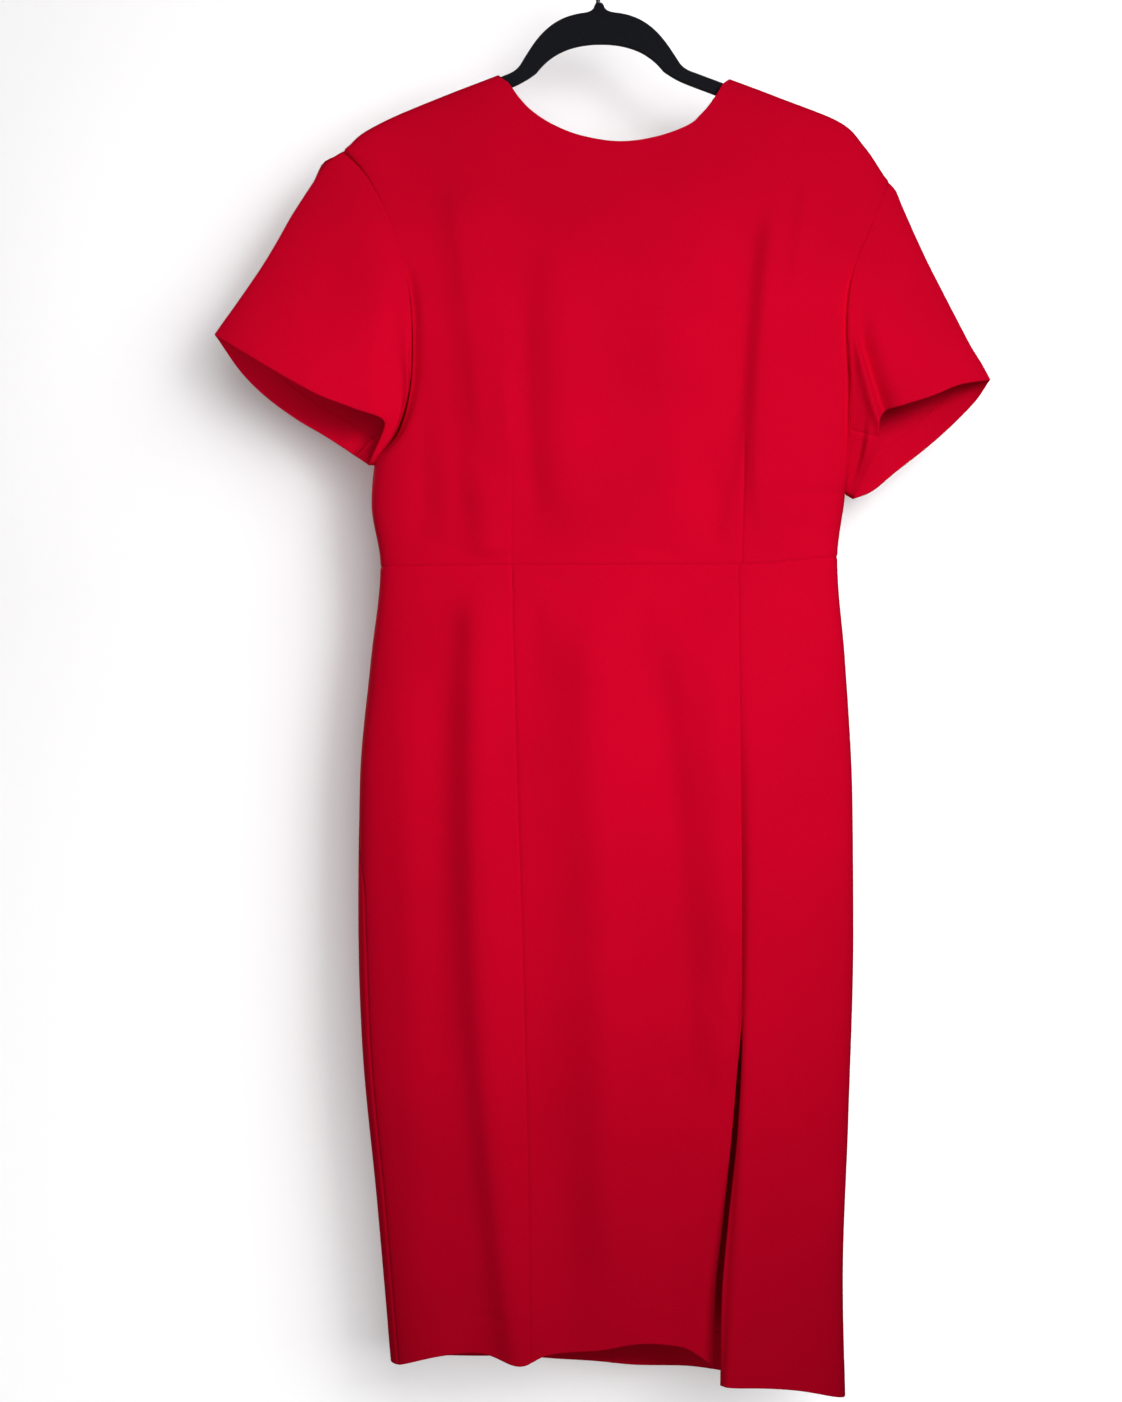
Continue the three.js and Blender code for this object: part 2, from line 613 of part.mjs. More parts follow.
// The wire hook: a stem, a bend to one side, and an arc over the rail that ends past its level.
class HookLine extends THREE.Curve {
  getPoint(t, target = new THREE.Vector3()) {
    const radius = hookInner + hookWire / 2;
    const stemEnd = -2.6 * radius;
    const turnStart = (236 * Math.PI) / 180;
    const turnEnd = (-12 * Math.PI) / 180;
    const stemShare = 0.12;
    const bendShare = 0.32;
    const joinX = radius * Math.cos(turnStart);
    const joinZ = -hookInner + radius * Math.sin(turnStart);
    if (t < stemShare) return target.set(0, 0, lerp(collarTop + hookSeat, stemEnd, t / stemShare));
    if (t < bendShare) {
      const s = (t - stemShare) / (bendShare - stemShare);
      const bend = new THREE.CubicBezierCurve3(
        new THREE.Vector3(0, 0, stemEnd),
        new THREE.Vector3(0, 0, stemEnd + 0.25 * radius),
        new THREE.Vector3(joinX + 0.5 * radius, 0, joinZ - 0.34 * radius),
        new THREE.Vector3(joinX, 0, joinZ),
      );
      return bend.getPoint(s, target);
    }
    const angle = lerp(turnStart, turnEnd, (t - bendShare) / (1 - bendShare));
    return target.set(radius * Math.cos(angle), 0, -hookInner + radius * Math.sin(angle));
  }
}

function hangerHook() {
  const section = new THREE.Shape().absarc(0, 0, hookWire / 2, 0, 2 * Math.PI);
  const geometry = new THREE.ExtrudeGeometry(section, {
    steps: 44,
    curveSegments: 10,
    bevelEnabled: false,
    extrudePath: new HookLine(),
  });
  const material = new THREE.MeshStandardMaterial({ color: hangerBlack, roughness: 0.5, metalness: 0.6 });
  return meshOf("hanger_hook", geometry, material);
}

const wasm = await Module();
wasm.setup();

function solidOf(geometry) {
  const bare = geometry.clone();
  bare.deleteAttribute("normal");
  bare.deleteAttribute("uv");
  const merged = mergeVertices(bare, 1e-4);
  const vertProperties = new Float32Array(merged.attributes.position.array);
  const triVerts = new Uint32Array(merged.index.array);
  return new wasm.Manifold(new wasm.Mesh({ numProp: 3, vertProperties, triVerts }));
}

function geometryOf(solid) {
  const mesh = solid.getMesh();
  const geometry = new THREE.BufferGeometry();
  geometry.setAttribute("position", new THREE.BufferAttribute(mesh.vertProperties, 3));
  geometry.setIndex(new THREE.BufferAttribute(mesh.triVerts, 1));
  return geometry;
}

const boxAt = (wide, deep, high, x, y, z) => new THREE.BoxGeometry(wide, deep, high).translate(x, y, z);

// The slider lies on the cloth with its back at y = 0; the pull tab's bar turns in its bridge.
const bridgeWindow = (slider.thick + slider.bridgeOut - bridgeStrip) / 2;

function zipSlider() {
  const { wide, high, thick, bridgeWide, bridgeHigh, bridgeOut } = slider;
  const legHigh = bridgeOut - thick + zipBite;
  const legZ = (bridgeHigh - bridgeStrip) / 2;
  const legY = thick - zipBite + legHigh / 2;
  const solid = solidOf(boxAt(wide, thick, high, 0, thick / 2, 0))
    .add(solidOf(boxAt(bridgeWide, legHigh, bridgeStrip, 0, legY, legZ)))
    .add(solidOf(boxAt(bridgeWide, legHigh, bridgeStrip, 0, legY, -legZ)))
    .add(solidOf(boxAt(bridgeWide, bridgeStrip, bridgeHigh, 0, bridgeOut - bridgeStrip / 2, 0)));
  const material = new THREE.MeshStandardMaterial({ color: clothRed, roughness: 0.4, metalness: 0.3 });
  return meshOf("zip_slider", geometryOf(solid), material);
}

function zipTab() {
  const { wide, barWide, thick, window, length, railWide } = tab;
  const railX = (wide - railWide) / 2;
  const bar = new THREE.CylinderGeometry(barWide / 2, barWide / 2, wide, 10).rotateZ(Math.PI / 2);
  const plateHigh = length - window;
  const solid = solidOf(bar)
    .add(solidOf(boxAt(railWide, thick, window + zipBite, railX, 0, -window / 2)))
    .add(solidOf(boxAt(railWide, thick, window + zipBite, -railX, 0, -window / 2)))
    .add(solidOf(boxAt(wide, thick, plateHigh, 0, 0, -window - plateHigh / 2)));
  const material = new THREE.MeshStandardMaterial({ color: clothRed, roughness: 0.4, metalness: 0.3 });
  const mesh = meshOf("zip_pull_tab", geometryOf(solid), material);
  mesh.position.set(0, bridgeWindow, 0);
  return mesh;
}

// The zip group sits on the back at the top of the centre seam, leaning as the cloth leans there.
function zip() {
  const group = new THREE.Group();
  const z = bodiceHeight(1, 0.5, bodiceRows) - zipDown;
  const seat = ringPoint(backSeamAt(z), z);
  const below = z - slider.high;
  const lean = Math.atan2(ringPoint(backSeamAt(below), below).y - seat.y, slider.high);
  group.position.copy(seat).add(new THREE.Vector3(0, clothWall / 2 + seatGap, 0));
  group.rotation.x = lean;
  group.add(zipSlider(), zipTab());
  return group;
}

const hanger = new THREE.Group();
hanger.add(hangerBody());
hanger.rotation.y = -hangerTilt;

const dress = new THREE.Group();
dress.add(bodiceFront());
dress.add(bodiceBack("bodice_back_left", () => 1, backSeamAt));
dress.add(bodiceBack("bodice_back_right", backSeamAt, () => 2));
dress.add(sleeve("sleeve_right", "right", rightMarks, rightEdge, rightCuff));
dress.add(sleeve("sleeve_left", "left", leftMarks, leftEdge, leftCuff));
dress.add(...skirt(), zip(), hanger, hangerHook());

export default dress;
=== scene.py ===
# %% [markdown]
# # A red sheath dress on its hanger
#
# The part comes as a frame: its panels, sleeves, zip and hanger at their real size, one solid each.
# This script keeps that frame and dresses it. Every panel of cloth is worked out again as a fine
# grid on the same body surface, so that folds, darts and seams can be drawn in the cloth itself.
# Lengths in the tables are millimetres, and one number turns them to Blender's metres.

import bpy
import numpy as np
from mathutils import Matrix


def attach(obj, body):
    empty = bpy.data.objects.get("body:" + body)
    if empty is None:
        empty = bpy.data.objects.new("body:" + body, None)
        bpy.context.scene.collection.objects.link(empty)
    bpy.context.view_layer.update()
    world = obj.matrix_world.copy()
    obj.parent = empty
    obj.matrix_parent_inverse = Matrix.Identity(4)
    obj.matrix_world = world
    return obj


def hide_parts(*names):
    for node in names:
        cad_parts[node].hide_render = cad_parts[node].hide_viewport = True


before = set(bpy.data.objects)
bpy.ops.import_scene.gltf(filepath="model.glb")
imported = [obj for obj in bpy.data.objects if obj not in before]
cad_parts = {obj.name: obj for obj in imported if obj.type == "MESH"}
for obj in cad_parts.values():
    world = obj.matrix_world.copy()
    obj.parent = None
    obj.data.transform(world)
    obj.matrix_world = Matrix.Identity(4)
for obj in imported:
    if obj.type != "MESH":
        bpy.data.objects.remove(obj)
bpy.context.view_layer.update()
MM = 0.001
print("nodes", sorted(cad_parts))

# %% [markdown]
# ## Camera
#
# The camera looks straight at the front, from about half the height of the dress. Its distance is
# known, and its lens angle is worked out to show 1241 mm from top to bottom at the middle plane.

# %% Camera
VIEW_HIGH = 1240.8 * MM
VIEW_CENTRE = np.array([-32.7, 0, -695.4]) * MM
VIEW_AWAY = 2400 * MM

camera_data = bpy.data.cameras.new("camera")
camera_data.sensor_fit = "VERTICAL"
camera_data.angle = 2 * np.arctan(VIEW_HIGH / 2 / VIEW_AWAY)
camera = bpy.data.objects.new("camera", camera_data)
camera.location = VIEW_CENTRE - np.array([0, VIEW_AWAY, 0])
camera.rotation_euler = (np.pi / 2, 0, 0)
bpy.context.scene.collection.objects.link(camera)
bpy.context.scene.camera = camera
print("lens angle", round(float(np.degrees(camera_data.angle)), 2))

# %% [markdown]
# ## Reading sizes from small tables
#
# A pattern cutter notes a few measures and joins them with a smooth curve. `Table` does the same: it
# holds named columns, and `read` draws a cubic through the rows. Its slope at a row is the mean of the
# slopes beside it, kept under twice the smaller one and level at a turn, so it never swings past a row.


# %% Tables
STEEPEST = 2  # times the smaller of the two slopes beside a row


class Table:
    """Rows of numbers under named columns. The first column is the one looked up."""

    def __init__(self, names, *rows):
        self.names = names.split()
        grid = np.array(rows, float)
        self.grid = grid[np.argsort(grid[:, 0])]

    def read(self, name, at):
        """A cubic between two rows, straight past the ends. The nearer row weighs more in a slope."""
        x, y = self.grid[:, 0], self.grid[:, self.names.index(name)]
        gap = np.diff(x)
        slope = np.diff(y) / gap
        mean = (slope[:-1] * gap[1:] + slope[1:] * gap[:-1]) / (gap[:-1] + gap[1:])
        most = STEEPEST * np.minimum(np.abs(slope[:-1]), np.abs(slope[1:]))
        level = slope[:-1] * slope[1:] <= 0
        middle = np.where(level, 0, np.clip(mean, -most, most))
        bend = np.concatenate([slope[:1], middle, slope[-1:]])
        at = np.asarray(at, float)
        i = np.clip(np.searchsorted(x, at, side="right") - 1, 0, len(x) - 2)
        t = (at - x[i]) / gap[i]
        rise, first, last = y[i + 1] - y[i], gap[i] * bend[i], gap[i] * bend[i + 1]
        inside = y[i] + t * (first + t * (3 * rise - 2 * first - last + t * (first + last - 2 * rise)))
        before, after = y[i] + t * first, y[i + 1] + (t - 1) * last
        return np.where(t < 0, before, np.where(t > 1, after, inside))

    def rows(self):
        """Each row as a dict of its columns."""
        return [dict(zip(self.names, row)) for row in self.grid]


def smooth(t):
    """3t^2 - 2t^3, held at 0 below 0 and at 1 above 1."""
    t = np.clip(t, 0, 1)
    return t * t * (3 - 2 * t)


def lerp(a, b, t):
    """a + (b - a) t."""
    return a + (b - a) * t


def arch(t):
    """sin(pi t), never below 0."""
    return np.maximum(np.sin(np.pi * t), 0)


def valley(away, wide):
    """exp(-(away / wide)^2): 1 on a line, and next to nothing at twice the width from it."""
    return np.exp(-((away / wide) ** 2))


# %% [markdown]
# ## The measures of the dress
#
# How deep the body is at each height, where its two edges run from the neck point down the shoulder,
# armhole and side seam, and where the neckline, waist seam, skirt seams and hems lie. They follow the
# frame's measures. The neckline, the skirt seams and the slit lie up to a few millimetres from the
# frame's, and the slit starts 14 mm higher, because fine cloth shows more than a frame does. x grows
# to the wearer's left, z upwards, and the rail is at zero.

# %% Measures
SECTIONS = Table(
    "z front back round",
    (-142, 12, 12, 0.45),
    (-200, 16, 15, 0.5),
    (-260, 27, 23, 1.4),
    (-330, 37, 29, 1.8),
    (-400, 43, 31, 1.8),
    (-460, 43, 32, 1.3),
    (-512, 38, 30, 0.75),
    (-575, 33, 29, 0.75),
    (-660, 37, 34, 0.75),
    (-780, 42, 39, 0.75),
    (-950, 43, 38, 0.75),
    (-1100, 42, 34, 0.75),
    (-1310, 44, 33, 0.75),
)
RIGHT_EDGE = Table(
    "z front back",
    (-142.3, -86.7, -86.7),
    (-163.5, -141.6, -141.6),
    (-184.7, -191, -191),
    (-195.4, -209.7, -209.7),
    (-204.7, -219.6, -219.6),
    (-208.7, -223.9, -223.9),
    (-212, -221, -221.8),
    (-225.5, -208.8, -211.5),
    (-245.5, -196.4, -202),
    (-271, -184.3, -195),
    (-299, -175, -190),
    (-326, -167.5, -186),
    (-372, -163.7, -183.5),
    (-403, -164.5, -182.5),
    (-427, -167.8, -183.5),
    (-457, -178.2, -188),
    (-487.4, -197.5, -197.5),
    (-521, -199.8, -199.8),
    (-575, -192, -192),
    (-660, -200.5, -200.5),
    (-765, -210, -210),
    (-880, -211.5, -211.5),
    (-1000, -208, -208),
    (-1137, -195, -195),
    (-1280, -182.5, -182.5),
)
LEFT_EDGE = Table(
    "z front back",
    (-145.8, 115, 115),
    (-163.5, 162, 162),
    (-184.7, 214.2, 214.2),
    (-206, 235.4, 235.4),
    (-231, 252.9, 252.9),
    (-237, 257, 257),
    (-240.5, 255.8, 256),
    (-260, 248, 250),
    (-283, 238.5, 243.5),
    (-311, 226.5, 238),
    (-337, 221, 234.5),
    (-368, 219.2, 232),
    (-427, 221.8, 231),
    (-450, 221.8, 229.5),
    (-486, 219.5, 224),
    (-512.2, 218, 218),
    (-570, 211.2, 211.2),
    (-660, 218, 218),
    (-783, 224.5, 224.5),
    (-900, 225.3, 225.3),
    (-1066, 220.8, 220.8),
    (-1208, 216, 216),
    (-1310, 218, 218),
)
RIGHT_MARKS = {"neck": -142.3, "shoulder": -208.7, "underarm": -487.4}
LEFT_MARKS = {"neck": -145.8, "shoulder": -237, "underarm": -512.2}
ARMHOLE_DEPTH = 25
ARMHOLE_ROUND = 0.75
ARMHOLE_NEAR = 1
NECKLINE = Table(
    "across z",
    (0, -142.3),
    (0.18, -147.5),
    (0.225, -150.2),
    (0.274, -155.4),
    (0.336, -166.3),
    (0.38, -177.1),
    (0.421, -187.9),
    (0.471, -198.7),
    (0.517, -203.2),
    (0.562, -198.9),
    (0.607, -188.1),
    (0.635, -179),
    (0.66, -172.9),
    (0.69, -166.6),
    (0.724, -160.9),
    (0.768, -155.3),
    (0.846, -149.6),
    (1, -145.8),
)
BACK_NECK_DROP = 3
CENTRE_BACK = Table("z x", (-145, 14), (-575, 9), (-1310, 14))
WAIST = Table("x z", (-192, -576.8), (124, -575.8), (211, -568.2))
WAIST_HIGH = -570
FRONT_HEM = Table(
    "x z",
    (-176, -1279),
    (-140, -1268.5),
    (-104, -1264),
    (-68, -1272.5),
    (-45, -1264),
    (2, -1260),
    (38, -1254.5),
    (72, -1259.5),
    (100, -1278),
)
LEFT_PANEL_HEM = Table("x z", (108, -1290), (143, -1294), (179, -1299), (217, -1309.5))
BACK_HEM = Table("x z", (-176, -1279), (0, -1287.5), (60, -1292), (110, -1296), (217, -1309.5))
HEM_LOOK = -1270
SKIRT_SEAMS = Table(
    "z right inner outer side_shift",
    (-560, -76, 122.5, 122.5, 0),
    (-780, -70, 124.5, 124.5, 0),
    (-870, -67, 125, 125, 0.075),
    (-964, -64.4, 125, 125, 0.085),
    (-990, -63.7, 123.3, 124.8, 0.085),
    (-1020, -62.9, 120.6, 123.9, 0.085),
    (-1070, -61.5, 116.8, 121, 0.085),
    (-1150, -60, 109.2, 112.6, 0.085),
    (-1215, -59, 102.8, 107, 0.085),
    (-1300, -58, 101, 105.4, 0.085),
)
SLIT_TOP = -966
SLIT_SINK = 16
SLIT_LIFT = 5
SLIT_REACH = 45
print("dress", round(RIGHT_MARKS["neck"] - BACK_HEM.grid[-1, 1]), "mm long")

# %% [markdown]
# ## Folds
#
# Cloth on a hanger falls in long soft folds from the shoulders, the bust and the hips. Each row here
# is one fold along a line between two points, bowed sideways half way: a trough, or a ridge where its
# depth is negative. Its two flanks may differ, since real folds lean. Rows were placed one by one,
# uneven as real folds are. Simulated cloth would drape well, but not put each fold where this dress has
# it.

# %% Folds
FOLD_NAMES = "top_z top_x end_z end_x bow right_wide left_wide depth top_fade end_fade"
FRONT_FOLDS = Table(
    FOLD_NAMES,
    (-235, -127, -490, -98, 0, 12, 28, -6.2, 32, 70),
    (-385, -162, -548, -148, 1, 10, 9, 2.2, 40, 30),
    (-262, -34, -560, -25, -3, 20, 26, -3.5, 60, 50),
    (-290, 71, -565, 66, -4, 26, 26, -2.5, 90, 40),
    (-262.5, 131, -560, 97, 10, 22, 12, 4.6, 60, 50),
    (-250, 157, -560, 142, -9, 9, 36, -7.4, 45, 60),
    (-588, -107, -1310, -66, -17, 15, 24, -11, 48, 0),
    (-640, -141, -1080, -141, 0, 22, 16, 4.2, 80, 150),
    (-600, -10, -1240, 8, 4, 28, 26, -7.6, 80, 120),
    (-620, 46, -1100, 84, 6, 24, 18, 6.6, 80, 120),
    (-640, 131, -1320, 110, 9, 5, 32, -8.8, 240, 0),
    (-960, 62, -1330, 66, 0, 30, 32, 6.5, 130, 0),
    (-255.5, -152, -410, -140, -2, 20, 14, 2, 50, 60),
    (-300, -66, -550, -54, -3, 13, 11, 2.6, 70, 50),
    (-392, -86, -478, -79, 1, 8, 8, -1.3, 35, 30),
    (-232, 186, -372, 169, -2, 8, 11, -3.2, 26, 60),
    (-234, 172, -352, 160, 1, 7, 6, 1.4, 30, 50),
    (-462, -159, -566, -157, 2, 15, 13, 2.2, 35, 25),
    (-440, -122, -552, -119, -2, 7, 8, 1.3, 40, 40),
    (-478, -105, -573, -98, 1, 13, 20, -4.4, 45, 12),
    (-455, 93, -571, 103, 3, 18, 9, 2.2, 60, 20),
    (-640.5, 101, -945, 114, -3, 14, 9, -2.6, 60, 60),
    (-620.5, -178, -1250, -162, 4, 12, 20, -2.4, 120, 60),
    (-820, 190, -1200, 186, 5, 24, 18, 1.8, 140, 120),
    (-1040, -36, -1275, -22, 5, 18, 24, 2.4, 120, 30),
    (-1090, 58, -1275, 44, -5, 20, 26, -2.6, 90, 0),
    (-1150, -132, -1278, -118, 3, 18, 16, 2, 90, 0),
    (-600.5, 36, -690, 31, 1, 10, 13, 1.2, 30, 40),
    (-596, -58, -700, -52, 1, 11, 9, 1.2, 25, 60),
)
SMALL_CREASES = Table(
    FOLD_NAMES,
    (-795, -166, -812, -124, 3, 5, 6, 0.9, 12, 14),
    (-834, -150, -842, -118, -2, 4, 5, 0.6, 10, 10),
    (-986, 40, -1046, 70, 4, 6, 8, 1.2, 20, 22),
    (-1010, 98, -1062, 86, 3, 5, 7, 1.1, 16, 20),
    (-1085, -82, -1101, -66, 2, 5, 5, 0.8, 7, 8),
    (-930, 92, -985, 110, -3, 6, 7, 1.0, 20, 18),
    (-1232, -122, -1238, -74, 2, 4, 5, 0.8, 14, 16),
    (-1226, 20, -1243, 78, -4, 6, 7, 1.1, 18, 20),
    (-1250, 128, -1262, 182, 3, 5, 6, 0.9, 16, 18),
    (-1155, 60, -1190, 88, 3, 7, 6, 0.9, 14, 16),
    (-548, -170, -566, -112, 2, 5, 4, 0.7, 16, 20),
    (-556, 22, -568, 84, -2, 5, 4, 0.7, 18, 20),
    (-586, 134, -606, 190, 3, 5, 6, 0.8, 14, 20),
    (-584, -60, -600, -18, 2, 4, 5, 0.7, 12, 14),
    (-532, 150, -548, 204, -3, 6, 5, 0.8, 14, 12),
)
BACK_FOLDS = Table(
    FOLD_NAMES,
    (-610, -90, -1300, -72, 8, 30, 22, -8.4, 90, 0),
    (-640, -30, -1180, -42, -6, 26, 30, 5.6, 80, 140),
    (-630, 96, -1320, 84, -9, 24, 34, -9.1, 110, 0),
    (-700, 160, -1150, 150, 5, 26, 20, 4.2, 100, 150),
    (-270, -118, -545, -84, 6, 22, 30, -5.6, 70, 60),
    (-290, 132, -540, 100, -5, 28, 20, -5.6, 80, 60),
    (-250, 48, -500, 40, 4, 24, 24, 4.2, 80, 90),
    (-240, -60, -420, -46, -3, 14, 18, -2.5, 60, 80),
    (-330, 78, -552, 66, 3, 12, 15, -3.1, 70, 50),
    (-360, -150, -520, -140, 4, 13, 16, 2.8, 50, 60),
    (-585, -40, -760, -52, 3, 14, 12, 3.1, 40, 80),
    (-590, 60, -820, 44, -3, 13, 17, -3.4, 50, 90),
    (-860, 26, -1290, 30, 5, 22, 18, 4.2, 120, 0),
    (-900, -150, -1285, -138, -4, 20, 24, -4.2, 120, 0),
    (-556, 120, -568, 176, 2, 5, 6, 1.3, 16, 16),
    (-584, -150, -604, -96, 3, 5, 5, 1.3, 16, 16),
    (-990, 96, -1020, 142, 4, 7, 6, 1.4, 18, 18),
    (-1120, -110, -1148, -64, -3, 6, 7, 1.4, 18, 18),
)

# %% [markdown]
# ## How folds add up
#
# A fold is a soft bell across its line, and where two meet their depths are added. Cloth that looks
# smooth still has slow shallow waves, which `ripple` adds with three sine waves of unlike lengths.


# %% Depth of the folds
RIPPLE_HIGH = 0.45
RIPPLE_WAVES = ((31, 170, 1.3, 0.5), (19, -90, 0.4, 0.3), (47, 58, 2.1, 0.35))


def fold_depth(folds, x, z):
    """Sum of depth * valley(away, wide). Away is measured across the fold's line, less its bow."""
    total = np.zeros(np.broadcast(x, z).shape)
    for fold in folds.rows():
        run_x, run_z = fold["end_x"] - fold["top_x"], fold["end_z"] - fold["top_z"]
        length = np.hypot(run_x, run_z)
        along = ((x - fold["top_x"]) * run_x + (z - fold["top_z"]) * run_z) / length
        share = np.clip(along / length, 0, 1)
        away = ((z - fold["top_z"]) * run_x - (x - fold["top_x"]) * run_z) / length
        away = away - fold["bow"] * np.sin(np.pi * share)
        wide = np.where(away < 0, fold["right_wide"], fold["left_wide"])
        top = smooth(along / fold["top_fade"])
        end = smooth((length - along) / fold["end_fade"]) if fold["end_fade"] else 1
        total += fold["depth"] * top * end * valley(away, wide)
    return total


def ripple(x, z):
    """high * the sum of share * sin(x / across + z / down + start) over the waves."""
    total = 0
    for across, down, start, share in RIPPLE_WAVES:
        total = total + share * np.sin(x / across + z / down + start)
    return RIPPLE_HIGH * total


# %% [markdown]
# ## The body surface
#
# The hung dress is a flattened tube. `face_point` gives the front or the back of it: across runs from
# the wearer's right edge, 0, to the left, 1. `ring_point` joins both into one ring, 0 to 1 across the
# front and 1 to 2 back across the back, so that a panel may wrap round the side.


# %% Body surface
FOLD_TAPER = 1.5
EDGE_INSIDE = 0.04
EDGE_NEAR = 0.01
STEP_ROUND = 0.002
STEP_UP = 1


def armhole_stand(marks, z):
    """depth * sin(pi t)^round, where t runs down from the shoulder tip, 0, to the underarm, 1."""
    t = (marks["shoulder"] - z) / (marks["shoulder"] - marks["underarm"])
    return ARMHOLE_DEPTH * arch(np.clip(t, 0, 1)) ** ARMHOLE_ROUND


def edges(face, z):
    """The x of the right and the left edge of the front, -1, or the back, 1."""
    side = "front" if face < 0 else "back"
    return RIGHT_EDGE.read(side, z), LEFT_EDGE.read(side, z)


def face_point(face, across, z):
    """x = middle - half width * cos(pi across); y = stand + (depth - stand) * sin(pi across)^round.

    Folds sink into y and the ripple stands on it, both times sin(pi across)^1.5 to fade at the edges.
    """
    side = "front" if face < 0 else "back"
    right, left = edges(face, z)
    across = np.clip(across, 0, 1)
    x = (left + right) / 2 - (left - right) / 2 * np.cos(np.pi * across)
    stand = lerp(armhole_stand(RIGHT_MARKS, z), armhole_stand(LEFT_MARKS, z), across)
    depth = np.maximum(SECTIONS.read(side, z), stand)
    bulge = arch(across)
    if face < 0:
        folds = fold_depth(FRONT_FOLDS, x, z) + fold_depth(SMALL_CREASES, x, z)
    else:
        folds = fold_depth(BACK_FOLDS, x, z)
    out = stand + (depth - stand) * bulge ** SECTIONS.read("round", z)
    out = out - (folds - ripple(x, z * face)) * bulge**FOLD_TAPER
    return np.stack([x, face * out, z + 0 * x], axis=-1)


def ring_point(around, z):
    """face_point of the front for places 0 to 1, and of the back for places 1 to 2."""
    turn = np.mod(around, 2)
    front = turn[..., None] <= 1
    return np.where(front, face_point(-1, turn, z), face_point(1, 2 - turn, z))


def around_at(face, x, z):
    """The place round the ring, on one face, that lies at x: acos((left + right - 2x) / width) / pi."""
    right, left = edges(face, z)
    across = np.arccos(np.clip((left + right - 2 * x) / (left - right), -1, 1)) / np.pi
    return across if face < 0 else 2 - across


def unit(vectors):
    """Each vector over its own length."""
    return vectors / np.linalg.norm(vectors, axis=-1, keepdims=True)


def outward(surface, around, z):
    """The cross product of the ways round and up. At an armhole the slope is taken a little inside."""
    side = np.cos(np.pi * around) > 0
    stand = np.where(side, armhole_stand(RIGHT_MARKS, z), armhole_stand(LEFT_MARKS, z))
    face = np.floor(around)
    inside = np.clip(around, face + EDGE_INSIDE, face + 1 - EDGE_INSIDE)
    edge = np.round(around)
    near = np.abs(around - edge) < EDGE_NEAR
    place = np.where(stand > ARMHOLE_NEAR, inside, np.where(near, edge, around))
    way_round = surface(place + STEP_ROUND, z) - surface(place - STEP_ROUND, z)
    way_up = surface(place, z + STEP_UP) - surface(place, z - STEP_UP)
    return unit(np.cross(way_round, way_up))


sample = ring_point(np.array([0.5, 1.5]), np.array([-400.0, -400.0]))
print("bust depth", np.round(sample[0, 1] - sample[1, 1], 1), "mm")

# %% [markdown]
# ## From a grid to cloth
#
# A panel is a grid of points on its middle surface with a direction outwards at each. The two faces
# of the cloth lie half its thickness to each side, and strips join them along the edges, so the
# panel is a closed thin wall. Where two panels are sewn, the cloth turns in towards the seam
# allowance inside: `seam_roll` sinks the last two millimetres, which draws the seam as a fine valley.
# Round an armhole the seam has been pressed flat in places, so `armhole_roll` says how firm it is.
# A hem is turned up inside, so the cloth is double there, and its edge is a soft round fold.

# %% Cloth panels
CLOTH = 1.1
ROLL_DEEP = 0.7
ROLL_WIDE = 1.5
ROLL_MOST = 1.3  # times one roll's depth, where two rolls meet at a corner
SLIT_CLOSING = 20
EDGE_ROLL = Table(
    "z right left",
    (-100, 0.6, 0.2),
    (-215, 0.6, 0.15),
    (-262, 0.45, 0.25),
    (-300, 0.1, 0.5),
    (-335, 0.2, 0.7),
    (-400, 0.9, 0.8),
    (-500, 1, 1),
    (-1400, 1, 1),
)
EDGE_ROUND = 1.0
EDGE_LEAST = 0.3
HEM_DOUBLE = 0.9
HEM_LIFT = 0.12
HEM_STEP = 2
STITCH_DEEP = 0.1
STITCH_WIDE = 1.3
GRID_STEP = 3.2
SEAM_STEPS = np.array([0.5, 1.1, 1.9, 3.0])
SEAM_REACH = 4.5
RED_PIECES = []


def share_steps(length, step, knots=(0, 1)):
    """Shares from 0 to 1 about a step apart, with closer ones beside each knot where a seam runs."""
    fine, reach = SEAM_STEPS / length, SEAM_REACH / length
    parts = []
    for low, high in zip(knots[:-1], knots[1:]):
        count = max(int((high - low) * length / step), 3)
        inner = np.linspace(low + reach, high - reach, count)
        parts += [[low], low + fine, inner, high - fine[::-1]]
    return np.concatenate(parts + [[knots[-1]]])


def edge_distances(points):
    """Length along the cloth from each edge of the grid, by the name of the edge."""
    found = {}
    for axis, first, last in ((1, "left", "right"), (0, "top", "bottom")):
        step = np.linalg.norm(np.diff(points, axis=axis), axis=-1)
        start = np.concatenate([np.zeros_like(np.take(step, [0], axis)), np.cumsum(step, axis)], axis)
        found[first] = start
        found[last] = np.take(start, [-1], axis) - start
    return found


def seam_roll(points, sewn, slit=None, strength=1):
    """deep * valley(distance, wide) for each sewn edge. A slit's edge is sewn above its top only."""
    sink = np.zeros(points.shape[:2])
    for name, distance in edge_distances(points).items():
        if name in sewn:
            roll = ROLL_DEEP * valley(distance, ROLL_WIDE)
            sink += roll * smooth((points[..., 2] - SLIT_TOP) / SLIT_CLOSING) if name == slit else roll
    return np.minimum(sink, ROLL_DEEP * ROLL_MOST) * strength


def armhole_roll(points):
    """How firmly the seam is drawn in at each height of an armhole, where it has been pressed flat."""
    z = points[..., 2]
    return np.where(points[..., 0] < 0, EDGE_ROLL.read("right", z), EDGE_ROLL.read("left", z))


